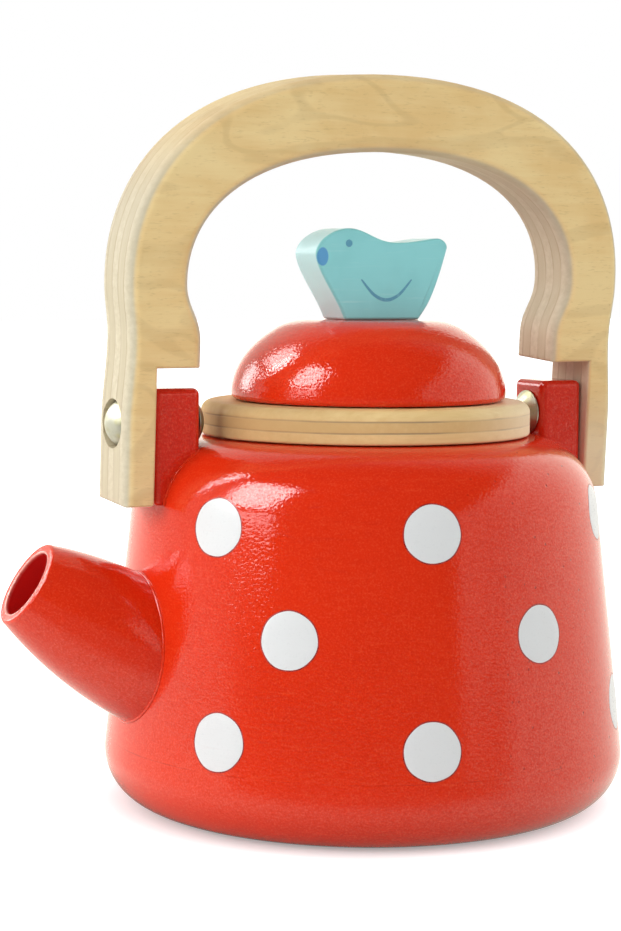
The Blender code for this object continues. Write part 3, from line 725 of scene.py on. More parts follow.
def blue_paint():
    """Satin pale blue paint on the bird, paler round its edge as a painted sheen, with a deeper blue beak on
    each face.
    """
    paint = Finish("blue_bird_paint")
    drift = paint.noise(90.0, 2.0)
    streak = paint.noise((70.0, 700.0, 900.0), 4.0, 0.6)
    fine = paint.noise(1300.0, 3.0, 0.6)
    x, y, z = paint.parts
    off_face = paint.math("SUBTRACT", BIRD_THICKNESS / 2.0, paint.math("ABSOLUTE", y))
    beak_x = paint.math("DIVIDE", paint.math("SUBTRACT", x, BEAK_PLACE[0]), BEAK_REACH[0])
    beak_z = paint.math("DIVIDE", paint.math("SUBTRACT", z, BEAK_PLACE[1]), BEAK_REACH[1])
    beak = paint.overlap((paint.squares(beak_x, beak_z), 1.15, 0.85), (off_face, 0.0006, 0.0003))
    colour = paint.coated(
        BLUE,
        (BLUE_DEEP, drift, 0.35, 0.70, 0.5),
        (BLUE_PALE_AND_PAINTED_SHEEN, streak, 0.56, 0.80, 0.20),
        # Painted sheen: the edge between the faces is paler.
        (BLUE_PALE_AND_PAINTED_SHEEN, off_face, 0.0003, 0.0010, 0.65),
        (BEAK_BLUE, beak),
    )
    relief = paint.relief((streak, BRUSH_DEPTH), (fine, FINE_DEPTH))
    return paint.done(colour, paint.span(fine, 0.3, 0.7, 0.34, 0.48), relief)


def thin_print_and_painted_shade(name, scale, detail, base, under, patchy, share, gloss):
    """A thin line of paint that lets some of the colour under it through; round the dots the same film is a
    dark ring of painted shade.
    """
    paint = Finish(name)
    uneven = paint.noise(scale, detail, 0.6)
    colour = paint.coated(base, (under, uneven, *patchy, share))
    return paint.done(colour, paint.span(uneven, 0.3, 0.7, *gloss), paint.relief((uneven, FINE_DEPTH)))


ZINC = (0.47, 0.47, 0.40)
ZINC_TINT = (0.40, 0.38, 0.20)
ZINC_DULL = (0.30, 0.295, 0.23)

# Turning marks, in radians per metre, and depths of the relief
MARKS_SCALE = 22000.0
MARKS_DEPTH = 0.000003
ZINC_DEPTH = 0.00002


def zinc():
    """Zinc plate with a faint yellow cast and fine turning marks."""
    metal = Finish("zinc_plate_worn")
    cast = metal.noise(260.0, 2.0)
    dull = metal.noise(700.0, 4.0, 0.65)
    colour = metal.coated(ZINC, (ZINC_TINT, cast, 0.42, 0.68, 0.75), (ZINC_DULL, dull, 0.55, 0.80, 0.55))
    marks = metal.math("SINE", metal.times(metal.from_axis(), MARKS_SCALE))
    relief = metal.relief((marks, MARKS_DEPTH), (dull, ZINC_DEPTH))
    return metal.done(colour, metal.span(dull, 0.3, 0.75, 0.38, 0.58), relief, Metallic=1.0)


BEECH_PALE = (0.72, 0.51, 0.29)
BEECH_DARK = (0.50, 0.30, 0.14)
BEECH_DEPTH = 0.00006


def dowel_wood():
    """Plain beech with short dark flecks."""
    wood = Finish("beech_dowel")
    grain = wood.noise((700.0, 700.0, 60.0), 4.0, 0.6)
    fleck = wood.noise((1500.0, 1500.0, 260.0), 2.0)
    colour = wood.coated(BEECH_PALE, (BEECH_DARK, grain, 0.35, 0.68), (BEECH_DARK, fleck, 0.66, 0.74, 0.6))
    return wood.done(colour, wood.span(grain, 0.3, 0.7, 0.5, 0.65), wood.relief((grain, BEECH_DEPTH)))


BODY_GRAIN = (130.0, 130.0, 1000.0)
BODY_DASH = (700.0, 700.0, 1700.0)
POST_GRAIN = (900.0, 900.0, 60.0)
POST_DASH = (1100.0, 1100.0, 260.0)
SPOUT_GRAIN = (800.0, 800.0, 50.0)
SPOUT_DASH = (1000.0, 1000.0, 360.0)
RED_BODY = red_paint("red_paint_body", RED, BODY_GRAIN, BODY_DASH, 0.7, seam_line, wear=0.15)
RED_DOME = red_paint("red_paint_dome", RED, BODY_GRAIN, BODY_DASH, 0.3, rough=1.7)
RED_POST = red_paint("red_paint_post", RED_POSTS, POST_GRAIN, POST_DASH, 0.1)
RED_SPOUT = red_paint("red_paint_spout", RED, SPOUT_GRAIN, SPOUT_DASH, 0.15, spout_mouth)

# Dark red of the painted shade round each dot, and the blue of the printed eye and wing
DOT_EDGE_PAINTED_SHADE = (0.32, 0.020, 0.012)
PRINT_BLUE = (0.10, 0.35, 0.50)
WHITE_DOT = white_paint()
EDGE_DOT_PAINTED_SHADE = thin_print_and_painted_shade("dot_edge_painted_shade", 700.0, 2.0, DOT_EDGE_PAINTED_SHADE, RED_DEEP, (0.35, 0.70), 0.6, (0.25, 0.40))
BLUE_BIRD = blue_paint()
BLUE_PRINT = thin_print_and_painted_shade("blue_print_paint", 800.0, 3.0, PRINT_BLUE, BLUE_DEEP, (0.48, 0.78), 0.5, (0.36, 0.5))

# Pale and warm colours of the plies
HANDLE_CORE = ((0.71, 0.63, 0.475), (0.57, 0.485, 0.335))
LID_CORE = ((0.88, 0.65, 0.32), (0.76, 0.515, 0.225))
HALF_BOARD = HANDLE_THICKNESS / 2.0
FLANGE_DEPTH = FLANGE_HIGH.z - FLANGE_LOW.z
PLUG_DEPTH = PLUG_HIGH.z - PLUG_LOW.z
PLY_HANDLE = plywood("plywood_handle", BOARD_AXIS, -HALF_BOARD, HANDLE_THICKNESS, 5.0, 0.0, *HANDLE_CORE)
PLY_FLANGE = plywood("plywood_flange", DISC_AXIS, 0.0, FLANGE_DEPTH, 3.0, 0.31, *LID_CORE)
PLY_PLUG = plywood("plywood_plug", DISC_AXIS, 0.0, PLUG_DEPTH, 5.0, 0.57, *LID_CORE)
ZINC_PLATE = zinc()
BEECH = dowel_wood()


# Pieces

def shoulder_points(grow):
    """The shoulder's round, grown by a gap."""
    return arc((RIM_RADIUS, SHOULDER_Z), SHOULDER_ROUND + grow, 90.0, math.degrees(CONE_ANGLE))


def foot_points(grow):
    """The foot's round, grown by a gap."""
    return arc((FOOT_RADIUS, FOOT_ROUND), FOOT_ROUND + grow, math.degrees(CONE_ANGLE), -90.0)


def outside_points(high, low):
    """Outer side of the body between two heights, from the upper one down, in short steps on the cone."""
    upper = shoulder_points(0.0)
    lower = foot_points(0.0)
    cone = []
    for index in range(1, CONE_STEPS):
        height = upper[-1][1] + (lower[0][1] - upper[-1][1]) * index / CONE_STEPS
        cone.append((body_radius(height), height))
    between = [point for point in upper + cone + lower if low < point[1] < high]
    return [(body_radius(high), high)] + between + [(body_radius(low), low)]


def make_body():
    """The bored shell, and the base that is glued flush under it."""
    mouth = arc((CAVITY_RADIUS + MOUTH_ROUND, BODY_HEIGHT - MOUTH_ROUND), MOUTH_ROUND, 180.0, 90.0)
    points = mouth + outside_points(BODY_HEIGHT, SHELL_FOOT_Z) + [(CAVITY_RADIUS, SHELL_FOOT_Z)]
    shell = turned("body_turning", points, BODY_STEPS, closed=True)
    belongs(shell, "kettle", "red_paint", RED_BODY, "body_shell")
    points = [(0.0, SHELL_FOOT_Z)] + outside_points(SHELL_FOOT_Z, 0.0) + [(0.0, 0.0)]
    base = turned("base_turning", points, BODY_STEPS)
    belongs(base, "kettle", "red_paint", RED_BODY, "base_disc")


def body_point(height, angle, proud):
    """A point that stands proud of the body's surface."""
    step = 0.0002
    radius = body_radius(height)
    slope = (body_radius(height + step) - body_radius(height - step)) / (2.0 * step)
    normal = Vector((*polar(1.0, angle), -slope)).normalized()
    return Vector((*polar(radius, angle), height)) + normal * proud


def climb(height, distance):
    """Height reached by going a distance up the body's side, or down it if that is negative."""
    steps = 12
    for _ in range(steps):
        step = distance / steps
        slope = (body_radius(height + step) - body_radius(height)) / step if step else 0.0
        height += step / math.hypot(1.0, slope)
    return height


def make_dots():
    """Thin discs of paint that follow the body, in one piece, each over a slightly wider dark ring of painted
    shade.
    """
    places = [REAR_DOT]
    for height, degrees in DOT_PAIRS:
        places += [(height, degrees), (height, -degrees)]
    for name, radius, film, material in (
        ("white_dots", DOT_RADIUS, DOT_FILM, WHITE_DOT),
        ("dot_painted_shade_edges", DOT_RADIUS + DOT_EDGE_WIDTH, DOT_EDGE_FILM, EDGE_DOT_PAINTED_SHADE),
    ):
        shape = bmesh.new()
        for count, (height, degrees) in enumerate(places):
            add_dot(shape, height, math.radians(degrees), radius, film, count)
        dots = place(name, mesh_from(shape, name))
        belongs(dots, "kettle", "red_paint", material)


def add_dot(shape, height, angle, dot_radius, film, count):
    """One dot: a low crowned film, closed underneath, with a hand-printed edge."""
    rings = 10
    spokes = 56
    radius = body_radius(height)

    def ring_at(share, proud):
        verts = []
        for index in range(spokes):
            turn = math.tau * index / spokes
            waves = [size * math.sin(number * turn + shift * count) for size, number, shift in DOT_WAVES]
            reach = dot_radius * share * (1.0 + sum(waves))
            spin = angle + reach * math.cos(turn) / radius
            rise = climb(height, reach * math.sin(turn))
            verts.append(shape.verts.new(body_point(rise, spin, proud)))
        return verts

    crown = shape.verts.new(body_point(height, angle, film))
    pit = shape.verts.new(body_point(height, angle, -film))
    loops = []
    for ring in range(1, rings + 1):
        share = ring / rings
        loops.append(ring_at(share, film * (1.0 - share ** DOT_CROWN)))
    loops.append(ring_at(1.0, -film))
    for index in range(spokes):
        after = (index + 1) % spokes
        shape.faces.new((crown, loops[0][index], loops[0][after]))
        shape.faces.new((pit, loops[-1][after], loops[-1][index]))
        for inner, outer in zip(loops, loops[1:]):
            shape.faces.new((inner[index], outer[index], outer[after], inner[after]))


def body_blank(grow):
    """The body's whole outside as a cutter, grown by a gap."""
    points = [(0.0, BODY_HEIGHT + grow)] + shoulder_points(grow) + foot_points(grow) + [(0.0, -grow)]
    return turned("body_blank", points, BODY_STEPS)


def spout_side(distance):
    """Outer radius of the spout at a distance below its tip."""
    share = distance / SPOUT_LENGTH
    return SPOUT_TIP_RADIUS + math.tan(SPOUT_TAPER) * distance + SPOUT_SWELL * 4.0 * share * (1.0 - share)


def spout_points():
    """Profile of the spout's blank, from the bore's floor over the rim and down the outside."""
    points = [(0.0, -SPOUT_BORE_DEPTH), (SPOUT_BORE_RADIUS, -SPOUT_BORE_DEPTH)]
    points += arc((SPOUT_BORE_RADIUS + SPOUT_BORE_LIP, -SPOUT_BORE_LIP), SPOUT_BORE_LIP, 180.0, 90.0)
    slope = math.atan(math.tan(SPOUT_TAPER) + 4.0 * SPOUT_SWELL / SPOUT_LENGTH)
    rim = (spout_side(SPOUT_RIM_ROUND) - SPOUT_RIM_ROUND / math.cos(slope), -SPOUT_RIM_ROUND)
    points += arc(rim, SPOUT_RIM_ROUND, 90.0, math.degrees(slope))
    rings = 24
    for index in range(1, rings + 1):
        distance = SPOUT_RIM_ROUND + (SPOUT_LENGTH - SPOUT_RIM_ROUND) * index / rings
        points.append((spout_side(distance), -distance))
    return points + [(0.0, -SPOUT_LENGTH)]


def make_spout(blank):
    """The coped spout and the paint that fills its joint."""
    outward = Vector((SPOUT_AXIS.x, SPOUT_AXIS.y, 0.0)).normalized()
    root = outward * body_radius(SPOUT_ROOT_HEIGHT) + Vector((0.0, 0.0, SPOUT_ROOT_HEIGHT))
    tip = root + SPOUT_AXIS * SPOUT_REACH
    spout = turned("spout_turning", spout_points(), SPOUT_STEPS)
    spout.location = tip
    spout.rotation_euler = SPOUT_TURN
    carve(spout, [blank])
    shade(spout)
    belongs(spout, "kettle", "red_paint", RED_SPOUT, "spout")
    turn = SPOUT_TURN.to_matrix()
    joint = []
    spokes = 160
    halvings = 40
    for index in range(spokes):
        angle = math.tau * index / spokes
        near = 0.0
        far = SPOUT_LENGTH
        for _ in range(halvings):
            middle = (near + far) / 2.0
            point = tip + turn @ Vector((*polar(spout_side(middle), angle), -middle))
            if math.hypot(point.x, point.y) > body_radius(point.z):
                near = middle
            else:
                far = middle
        joint.append(point)
    bead = tube("spout_joint", joint, SPOUT_BEAD, True)
    belongs(bead, "kettle", "red_paint", RED_BODY)


def rounded_box(name, low, high, radius):
    """A box between two corners, with rounded edges."""
    shape = bmesh.new()
    sized = Matrix.Translation((low + high) / 2.0) @ Matrix.Diagonal((*(high - low), 1.0))
    bmesh.ops.create_cube(shape, size=1.0, matrix=sized)
    obj = place(name, mesh_from(shape, name))
    soften(obj, radius, ROUND_STEPS, "ANGLE")
    return obj


def make_post(end, side, blank):
    """One post, coped to the shoulder and bored for its pivot, and the paint that fills its joint."""
    low = Vector(POST_LOW)
    high = Vector(POST_HIGH)
    if side < 0:
        low.x, high.x = -POST_HIGH.x, -POST_LOW.x
    post = rounded_box("post_block_" + end, low, high, POST_ROUND)
    bore = turned("bore_" + end, rod_points(BORE_RADIUS, -POST_BORE_REACH, POST_BORE_REACH), PIN_STEPS)
    bore.location = ((low.x + high.x) / 2.0, 0.0, PIVOT_Z)
    bore.rotation_euler.y = math.radians(90.0)
    carve(post, [blank, bore])
    shade(post)
    discard([bore])
    belongs(post, "kettle", "red_paint", RED_POST, "post_" + end)
    joint = []
    half = (high.y - low.y) / 2.0
    corner = (POST_LOW.x + POST_ROUND, POST_ROUND - half)
    steps = 24
    reach = circle_reach(body_radius(POST_LOW.z), half)
    for index in range(steps + 1):
        joint.append((reach + (corner[0] - reach) * index / steps, -half))
    joint += arc(corner, POST_ROUND, -90.0, -180.0, ROUND_STEPS)[1:]
    joint += [(x, -y) for x, y in reversed(joint)]
    line = [(side * x, y, shoulder_height(math.hypot(x, y))) for x, y in joint]
    bead = tube("post_joint_" + end, line, POST_BEAD, False)
    belongs(bead, "kettle", "red_paint", RED_BODY)


def rod_points(radius, low, high):
    """Profile of a plain rod between two heights."""
    return [(0.0, high), (radius, high), (radius, low), (0.0, low)]


def dome_points(radius, height, edge):
    """Rounded head from its crown down to a short upright edge, on a seat at height zero."""
    rise = height - edge
    sphere = (radius ** 2 + rise ** 2) / (2.0 * rise)
    low_angle = math.degrees(math.asin((sphere - rise) / sphere))
    crown = arc((0.0, height - sphere), sphere, 90.0, low_angle)
    crown[0] = (0.0, height)
    return crown + [(radius, 0.0)]


def make_pivot(end, side):
    """One round-head bolt and its cap nut."""
    seat = BOLT_LOW.x + HEAD_HEIGHT
    shank = BOLT_HIGH.x - seat
    bolt = dome_points(HEAD_RADIUS, HEAD_HEIGHT, HEAD_EDGE)
    bolt += [(SHANK_RADIUS, 0.0), (SHANK_RADIUS, -shank), (0.0, -shank)]
    nut = dome_points(NUT_RADIUS, NUT_HIGH.x - NUT_LOW.x, NUT_EDGE)
    nut += [(BORE_RADIUS, 0.0), (BORE_RADIUS, SOCKET_DEPTH), (0.0, SOCKET_DEPTH)]
    for name, node, points, foot, turn in (
        ("bolt_", "pivot_bolt_", bolt, seat, -90.0),
        ("nut_", "cap_nut_", nut, NUT_LOW.x, 90.0),
    ):
        piece = turned(name + end, points, PIN_STEPS)
        piece.location = (side * foot, 0.0, PIVOT_Z)
        piece.rotation_euler.y = math.radians(turn * side)
        belongs(piece, "kettle", "zinc_plate", ZINC_PLATE, node + end)


def handle_points():
    """The handle's outline about the pivot, from the grip's underside at the crown all the way round."""
    waist = NOTCH_ABOVE_PIVOT + WAIST_ABOVE_NOTCH
    side = waist + SIDE_ABOVE_WAIST
    crown = GRIP_ABOVE_PIVOT + CROWN_DEPTH
    inner_side = LEG_OUTER_X - SIDE_DEPTH
    haunch = LEG_OUTER_X - WAIST_INSET - HAUNCH_DEPTH
    bend = BEND_FULLNESS * SIDE_ABOVE_WAIST
    inner_rise = SIDE_FULLNESS * (GRIP_ABOVE_PIVOT - side)
    outer_rise = SIDE_FULLNESS * (crown - side)
    half = [
        ((0.0, GRIP_ABOVE_PIVOT), 0.0, CROWN_FULLNESS * inner_side, CROWN_FULLNESS * inner_side),
        ((inner_side, side), -90.0, inner_rise, bend),
        ((haunch, waist), -90.0, bend, 0.0),
        ((haunch, NOTCH_ABOVE_PIVOT), 0.0, 0.0, 0.0),
        ((LEG_INNER_X, NOTCH_ABOVE_PIVOT), 0.0, 0.0, 0.0),
        ((LEG_INNER_X, -LEG_BELOW_PIVOT), 0.0, 0.0, 0.0),
        ((LEG_OUTER_X, -LEG_BELOW_PIVOT), 0.0, 0.0, 0.0),
        ((LEG_OUTER_X, 0.0), 90.0, 0.0, bend),
        ((LEG_OUTER_X - WAIST_INSET, waist), 90.0, bend, bend),
        ((LEG_OUTER_X, side), 90.0, bend, outer_rise),
        ((0.0, crown), 180.0, CROWN_FULLNESS * LEG_OUTER_X, CROWN_FULLNESS * LEG_OUTER_X),
    ]
    whole = list(half)
    for (x, z), heading, behind, ahead in reversed(half[1:-1]):
        whole.append(((-x, z), -heading, ahead, behind))
    return whole


def handle_rounding(start, end):
    """Share of the handle's round: all of it on the arch and down the legs' outer sides."""
    on_arch = max(start.y, end.y) > NOTCH_ABOVE_PIVOT + MERGE_DISTANCE
    on_outside = min(abs(start.x), abs(end.x)) > LEG_OUTER_X - WAIST_INSET - MERGE_DISTANCE
    runs_up = abs(start.y - end.y) > MERGE_DISTANCE
    if on_arch or (on_outside and runs_up):
        return 1.0
    return NOTCH_ROUND / HANDLE_ROUND


def make_handle():
    """The plywood arch, rounded all round, with the recesses for its nuts."""
    handle = outlined("handle_arch_board", handle_points(), HANDLE_THICKNESS, handle_rounding)
    handle.location.z = PIVOT_Z
    handle.rotation_euler.x = HANDLE_LEAN
    soften(handle, HANDLE_ROUND, ROUND_STEPS, "WEIGHT")
    past = LEG_OUTER_X + CUT_PAST
    bore_points = rod_points(BORE_RADIUS, LEG_INNER_X - CUT_PAST, past)
    sink_points = rod_points(NUT_RADIUS + NUT_CLEARANCE, LEG_OUTER_X - NUT_SINK, past)
    cutters = []
    for side in (-1.0, 1.0):
        bore = turned("leg_bore", bore_points, PIN_STEPS)
        sink = turned("leg_recess", sink_points, PIN_STEPS)
        for cutter in (bore, sink):
            cutter.location.z = PIVOT_Z
            cutter.rotation_euler.y = math.radians(90.0 * side)
            cutters.append(cutter)
    carve(handle, cutters)
    shade(handle)
    discard(cutters)
    belongs(handle, "handle_arch", "bare_plywood", PLY_HANDLE, "handle")


def flat_dome_points():
    """Half ellipse of the lid's dome, cut flat on top, with a rounded foot."""
    radius = (DOME_HIGH.x - DOME_LOW.x) / 2.0
    height = DOME_HIGH.z - DOME_LOW.z
    flat_angle = math.acos(DOME_FLAT_RADIUS / radius)
    full_rise = (height - DOME_FOOT_ROUND) / math.sin(flat_angle)
    soft_angle = flat_angle - DOME_FLAT_EASE / radius
    start = Vector((DOME_FLAT_RADIUS - DOME_FLAT_EASE, height))
    corner = Vector((DOME_FLAT_RADIUS, height))
    end = Vector((radius * math.cos(soft_angle), DOME_FOOT_ROUND + full_rise * math.sin(soft_angle)))
    points = [(0.0, height)]
    ease_steps = 10
    for index in range(ease_steps + 1):
        share = index / ease_steps
        points.append(tuple(start.lerp(corner, share).lerp(corner.lerp(end, share), share)))
    steps = 40
    for index in range(1, steps + 1):
        angle = soft_angle * (1.0 - index / steps)
        points.append((radius * math.cos(angle), DOME_FOOT_ROUND + full_rise * math.sin(angle)))
    points += arc((radius - DOME_FOOT_ROUND, DOME_FOOT_ROUND), DOME_FOOT_ROUND, 0.0, -90.0)[1:]
    return points + [(0.0, 0.0)]


def disc_points(low, high, top_round, foot_round):
    """Disc with a rounded foot, and a top edge that is rounded or left square."""
    radius = (high.x - low.x) / 2.0
    height = high.z - low.z
    top = [(radius, height)]
    if top_round:
        top = arc((radius - top_round, height - top_round), top_round, 90.0, 0.0)
    foot = arc((radius - foot_round, foot_round), foot_round, 0.0, -90.0)
    return [(0.0, height)] + top + foot + [(0.0, 0.0)]


def make_lid():
    """Flange, dome and plug."""
    flange = disc_points(FLANGE_LOW, FLANGE_HIGH, FLANGE_TOP_ROUND, FLANGE_FOOT_ROUND)
    plug = disc_points(PLUG_LOW, PLUG_HIGH, 0.0, PLUG_ROUND)
    for name, node, points, slot, material in (
        ("flange_disc", "lid_flange", flange, "bare_plywood", PLY_FLANGE),
        ("dome_turning", "lid_dome", flat_dome_points(), "red_paint", RED_DOME),
        ("plug_disc", "lid_plug", plug, "bare_plywood", PLY_PLUG),
    ):
        piece = turned(name, points, LID_STEPS)
        low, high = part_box(node)
        piece.location.x = (low.x + high.x) / 2.0
        piece.location.z = low.z
        belongs(piece, "lid", slot, material, node)


# The bird's outline in shares of its height: places, headings in degrees, and reaches behind and ahead
BIRD_OUTLINE = [
    ((0.525, -0.0125), 180.0, 0.0, 0.0),
    ((-0.405, -0.0125), 110.0, 0.0, 0.252),
    ((-0.765, 0.700), 97.0, 0.194, 0.147),
    ((-0.350, 1.0), 0.0, 0.212, 0.212),
    ((0.240, 0.848), 0.0, 0.258, 0.276),
    ((0.774, 0.899), 0.0, 0.138, 0.055),
    ((0.889, 0.783), 254.0, 0.065, 0.203),
    ((0.654, 0.166), 240.0, 0.184, 0.074),
]

# Eye and wing line on both faces, in metres along X and up from the bird's foot
EYE_PLACE = (-0.00807, 0.01835)
EYE_RADIUS = 0.0009
EYE_STEPS = 32
WING_LINE = [(-0.0046, 0.0096), (-0.0011, 0.0059), (0.0024, 0.0046), (0.0059, 0.0059), (0.0094, 0.0096)]
WING_WIDTH = 0.00042
WING_TIP = 0.25
WING_FULLNESS = 0.6
WING_STEPS = 12
PRINT_FILM = 0.00006


def make_bird():
    """The flat bird, with its eye and a plain curved wing line on both faces."""
    points = []
    for (x, z), heading, behind, ahead in BIRD_OUTLINE:
        spot = (x * BIRD_HEIGHT, z * BIRD_HEIGHT)
        points.append((spot, heading, behind * BIRD_HEIGHT, ahead * BIRD_HEIGHT))
    bird = outlined("bird_figure", points, BIRD_THICKNESS)
    bird.location.z = BIRD_LOW.z
    soften(bird, BIRD_ROUND, BIRD_ROUND_STEPS, "WEIGHT")
    shade(bird)
    belongs(bird, "lid", "blue_paint", BLUE_BIRD, "bird_knob")
    eye = arc(EYE_PLACE, EYE_RADIUS, 0.0, 360.0, EYE_STEPS)[:-1]
    wing = wing_outline()
    for side, face in ((-1.0, "near"), (1.0, "far")):
        for name, outline in (("bird_eye_", eye), ("bird_wing_", wing)):
            film = plate(name + face, outline, side)
            film.location.z = BIRD_LOW.z
            belongs(film, "lid", "blue_paint", BLUE_PRINT)


def wing_outline():
    """Outline of a tapered stroke along a smooth curve through the wing line's points."""
    knots = [Vector(point) for point in WING_LINE]
    smooth = []
    for before, start, end, after in zip([knots[0]] + knots, knots, knots[1:], knots[2:] + [knots[-1]]):
        for index in range(WING_STEPS):
            share = index / WING_STEPS
            bend = (2 * before - 5 * start + 4 * end - after) * share ** 2
            swing = (3 * start - before - 3 * end + after) * share ** 3
            smooth.append((2 * start + (end - before) * share + bend + swing) / 2.0)
    smooth.append(knots[-1])
    upper = []
    lower = []
    for index, point in enumerate(smooth):
        ahead = smooth[min(index + 1, len(smooth) - 1)] - smooth[max(index - 1, 0)]
        across = Vector((-ahead.y, ahead.x)).normalized()
        share = index / (len(smooth) - 1)
        width = WING_WIDTH * (WING_TIP + (1.0 - WING_TIP) * math.sin(math.pi * share) ** WING_FULLNESS)
        upper.append(point + across * width)
        lower.append(point - across * width)
    return upper + lower[::-1]


def plate(name, outline, side):
    """A thin printed film on one face of the bird."""
    shape = bmesh.new()
    outer = side * (BIRD_THICKNESS / 2.0 + PRINT_FILM)
    inner = side * (BIRD_THICKNESS / 2.0 - PRINT_FILM)
    top = [shape.verts.new((x, outer, z)) for x, z in outline]
    bottom = [shape.verts.new((x, inner, z)) for x, z in outline]
    shape.faces.new(top)
    shape.faces.new(bottom[::-1])
    count = len(outline)
    for index in range(count):
        after = (index + 1) % count
        shape.faces.new((top[index], top[after], bottom[after], bottom[index]))
    return place(name, mesh_from(shape, name))


def make_dowels():
    """The hidden dowels keep their own solids, in beech."""
    for name in ("spout_dowel", "post_dowel_front", "post_dowel_rear", "lid_dowel", "knob_dowel"):
        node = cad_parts[name]
        node.data.materials.clear()
        node.data.materials.append(BEECH)


# Stage

FLOOR_SIZE = 8.0
FLOOR_DROP = 0.0001
# The floor's grey is tinted cyan: painted light that cancels the red light which the body throws on the floor
FLOOR_GREY = (0.70, 0.765, 0.765, 1.0)
LOOK_POINT = Vector((0.0, 0.0, 0.08))

# The floor's own glow to the camera: its share under the kettle, and where it rises to white
FLOOR_GLOW = 0.30
GLOW_CENTRE = (-0.003, 0.0015, 0.0)
GLOW_REACH = (0.052, 0.075)

# The floor as the gloss mirrors it: bright, dark close to the foot, and dim towards the front and left
FLOOR_MIRRORED = 1.4
MIRROR_TINT = (1.0, 0.96, 0.84)
MIRROR_REACH = (0.050, 0.082)
MIRROR_NEAR = 0.1
TABLE_REACH = (0.0, 0.12)
TABLE_DARK = 0.35
FRONT_DIRECTION = (0.0, -1.0, 0.0)
LEFT_FRONT_DIRECTION = (-0.75, -0.66, 0.0)

# The room as the gloss mirrors it: directions, where light starts and ends on the way there, and its strength
ROOM_DARK = 0.07
MIRRORED = (
    ((0.45, 0.89, 0.0), (0.0, 0.8), (ROOM_DARK, 1.0)),
    ((-0.766, 0.643, 0.0), (0.50, 1.0), (0.0, 0.9)),
)

# The white wall to the right, as the gloss mirrors it: slopes at its top and its ends, and its brightness
WALL_TOP = (1.22, 0.88)
WALL_NEAR_END = (-3.8, -3.1)
WALL_FAR_END = (-1.6, 0.3)
WALL_SIDE = (0.02, 0.12)
WALL_NEAR_SHARE = 0.56
WALL_STRENGTH = 1.7

# Light on the colours from all round
FILL = 0.58
WHITE_LIGHT = (1.0, 1.0, 1.0)

# Soft panels: angle from +X, height angle, distance, width, height and radiance.
# Those named for gloss show only in reflections, and the others light only the colours.
PANELS = {
    "soft_box": (187.0, 19.0, 1.0, 0.63, 0.43, 5.8),
    "strip": (137.0, 25.0, 1.2, 0.20, 1.12, 6.0),
    "gloss_soft_box": (182.0, 35.5, 0.9, 0.41, 0.50, 13.0),
    "gloss_low": (188.0, 9.5, 0.9, 0.34, 0.13, 5.0),
    "gloss_strip_high": (131.0, 42.0, 1.1, 0.44, 0.40, 7.2),
    "gloss_strip_low": (118.0, 14.0, 1.1, 0.34, 0.40, 6.2),
    "gloss_strip_edge": (143.0, 38.0, 1.1, 0.15, 0.60, 14.0),
}
WALL_PLACE = Vector((0.95, -1.48, 0.50))
WALL_FACES = Vector((-1.0, 0.0, 0.0))
WALL_SIZE = (3.76, 1.0)
WALL_RADIANCE = 0.95


def make_floor():
    """A plain white floor that keeps the kettle's shadow close round its foot."""
    shape = bmesh.new()
    bmesh.ops.create_grid(shape, x_segments=1, y_segments=1, size=FLOOR_SIZE / 2.0)
    floor = place("floor", mesh_from(shape, "floor"))
    floor.location.z = -FLOOR_DROP
    material = bpy.data.materials.new("floor_white")
    nodes = Nodes(material)
    nodes.tree.nodes.clear()
    rays = nodes.add("ShaderNodeLightPath").outputs
    spot = nodes.add("ShaderNodeTexCoord").outputs["Object"]
    apart = nodes.add("ShaderNodeVectorMath", spot, GLOW_CENTRE, operation="DISTANCE").outputs["Value"]
    paint = nodes.add("ShaderNodeBsdfDiffuse", Color=FLOOR_GREY)
    open_floor = nodes.span(apart, *GLOW_REACH, FLOOR_GLOW, 1.0)
    glow = nodes.add("ShaderNodeEmission", Strength=nodes.times(rays["Is Camera Ray"], open_floor))
    seen = nodes.add("ShaderNodeAddShader", paint.outputs[0], glow.outputs[0])
    front = nodes.span(nodes.towards(spot, FRONT_DIRECTION), *TABLE_REACH)
    left_front = nodes.span(nodes.towards(spot, LEFT_FRONT_DIRECTION), *TABLE_REACH)
    lit = nodes.span(nodes.times(front, left_front), 0.0, 1.0, FLOOR_MIRRORED, TABLE_DARK)
    clear = nodes.span(apart, *MIRROR_REACH, MIRROR_NEAR, 1.0)
    mirrored = nodes.add("ShaderNodeEmission", Color=(*MIRROR_TINT, 1.0), Strength=nodes.times(lit, clear))
    either = nodes.add("ShaderNodeMixShader", rays["Is Glossy Ray"], seen.outputs[0], mirrored.outputs[0])
    nodes.add("ShaderNodeOutputMaterial", Surface=either.outputs[0])
    floor.data.materials.append(material)


def wall_glow(nodes, spot):
    """The wall's brightness in a direction, soft along its top and at its ends."""
    x, y, z = nodes.split(spot)
    along = nodes.math("DIVIDE", y, x)
    under_top = nodes.span(nodes.math("DIVIDE", z, x), *WALL_TOP, 0.0, WALL_STRENGTH)
    near_end = nodes.span(along, *WALL_NEAR_END, 0.0, WALL_NEAR_SHARE)
    far_end = nodes.span(along, *WALL_FAR_END, 0.0, 1.0 - WALL_NEAR_SHARE)
    return nodes.times(under_top, nodes.math("ADD", near_end, far_end), nodes.span(x, *WALL_SIDE))


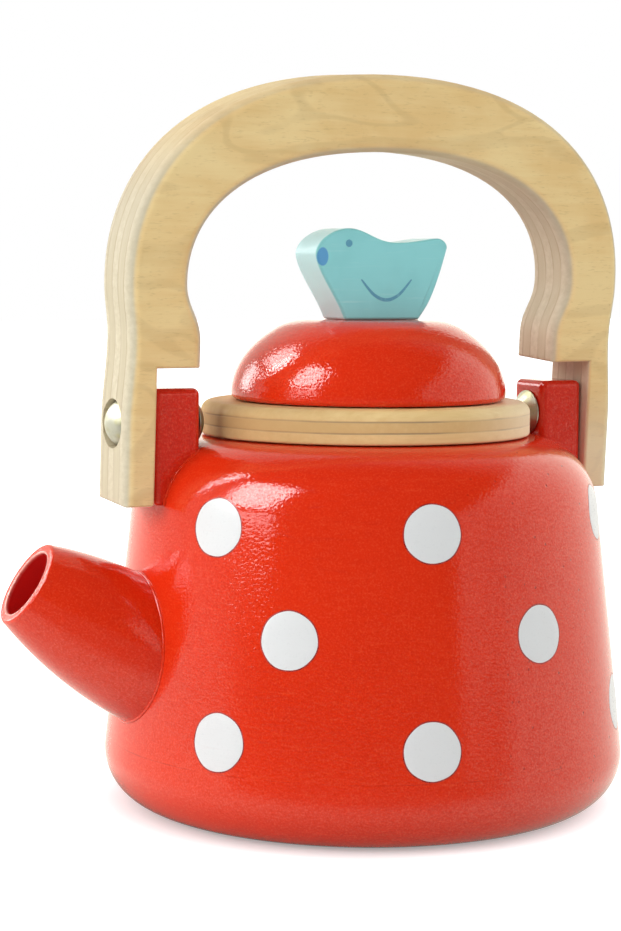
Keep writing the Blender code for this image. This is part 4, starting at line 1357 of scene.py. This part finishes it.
def make_world():
    """White behind the kettle, a soft fill for its colours, and for its gloss a room with a dark front."""
    world = bpy.data.worlds.new("studio")
    bpy.context.scene.world = world
    nodes = Nodes(world)
    nodes.tree.nodes.clear()
    rays = nodes.add("ShaderNodeLightPath").outputs
    spot = nodes.add("ShaderNodeTexCoord").outputs["Generated"]
    room = wall_glow(nodes, spot)
    for direction, reach, strength in MIRRORED:
        side = nodes.span(nodes.towards(spot, direction), *reach, *strength)
        room = nodes.math("MAXIMUM", room, side)
    light = nodes.add("ShaderNodeMix", Factor=rays["Is Glossy Ray"], A=FILL, B=room).outputs["Result"]
    light = nodes.math("MAXIMUM", light, rays["Is Camera Ray"])
    colour = nodes.blend(rays["Is Glossy Ray"], WHITE_LIGHT, MIRROR_TINT)
    back = nodes.add("ShaderNodeBackground", Color=colour, Strength=light)
    nodes.add("ShaderNodeOutputWorld", Surface=back.outputs[0])


def add_lamp(name, centre, target, width, height, radiance):
    """A soft panel that faces a target, as bright as its radiance."""
    lamp = bpy.data.lights.new(name, "AREA")
    lamp.shape = "RECTANGLE"
    lamp.size = width
    lamp.size_y = height
    lamp.energy = radiance * math.pi * width * height
    panel = place(name, lamp)
    panel.location = centre
    panel.rotation_euler = (target - centre).to_track_quat("-Z", "Y").to_euler()
    panel.visible_camera = False
    panel.visible_diffuse = "gloss" not in name
    panel.visible_glossy = "gloss" in name


def make_lamps():
    """The panels round the kettle, and the white wall to its right."""
    for name, (azimuth, elevation, distance, *panel) in PANELS.items():
        level, rise = polar(distance, math.radians(elevation))
        offset = Vector((*polar(level, math.radians(azimuth)), rise))
        add_lamp(name, LOOK_POINT + offset, LOOK_POINT, *panel)
    add_lamp("wall", WALL_PLACE, WALL_PLACE + WALL_FACES, *WALL_SIZE, WALL_RADIANCE)


def make_camera():
    """The photograph's own view."""
    lens = bpy.data.cameras.new("camera")
    lens.lens = CAMERA_LENS
    lens.sensor_width = CAMERA_SENSOR
    lens.clip_start = CAMERA_NEAREST
    camera = place("camera", lens)
    right = CAMERA_FORWARD.cross(CAMERA_UP).normalized()
    up = right.cross(CAMERA_FORWARD).normalized()
    turn = Matrix((right, up, -CAMERA_FORWARD.normalized())).transposed()
    camera.matrix_world = Matrix.Translation(CAMERA_PLACE) @ turn.to_4x4()
    bpy.context.scene.camera = camera


def make_kettle():
    """Every piece, from the base up."""
    make_body()
    make_dots()
    blank = body_blank(COPE_GAP)
    make_spout(blank)
    for end, side in (("front", -1), ("rear", 1)):
        make_post(end, side, blank)
        make_pivot(end, side)
    discard([blank])
    make_handle()
    make_lid()
    make_bird()
    make_dowels()


make_kettle()
make_floor()
make_world()
make_lamps()
make_camera()
bpy.context.scene.view_settings.view_transform = "Standard"
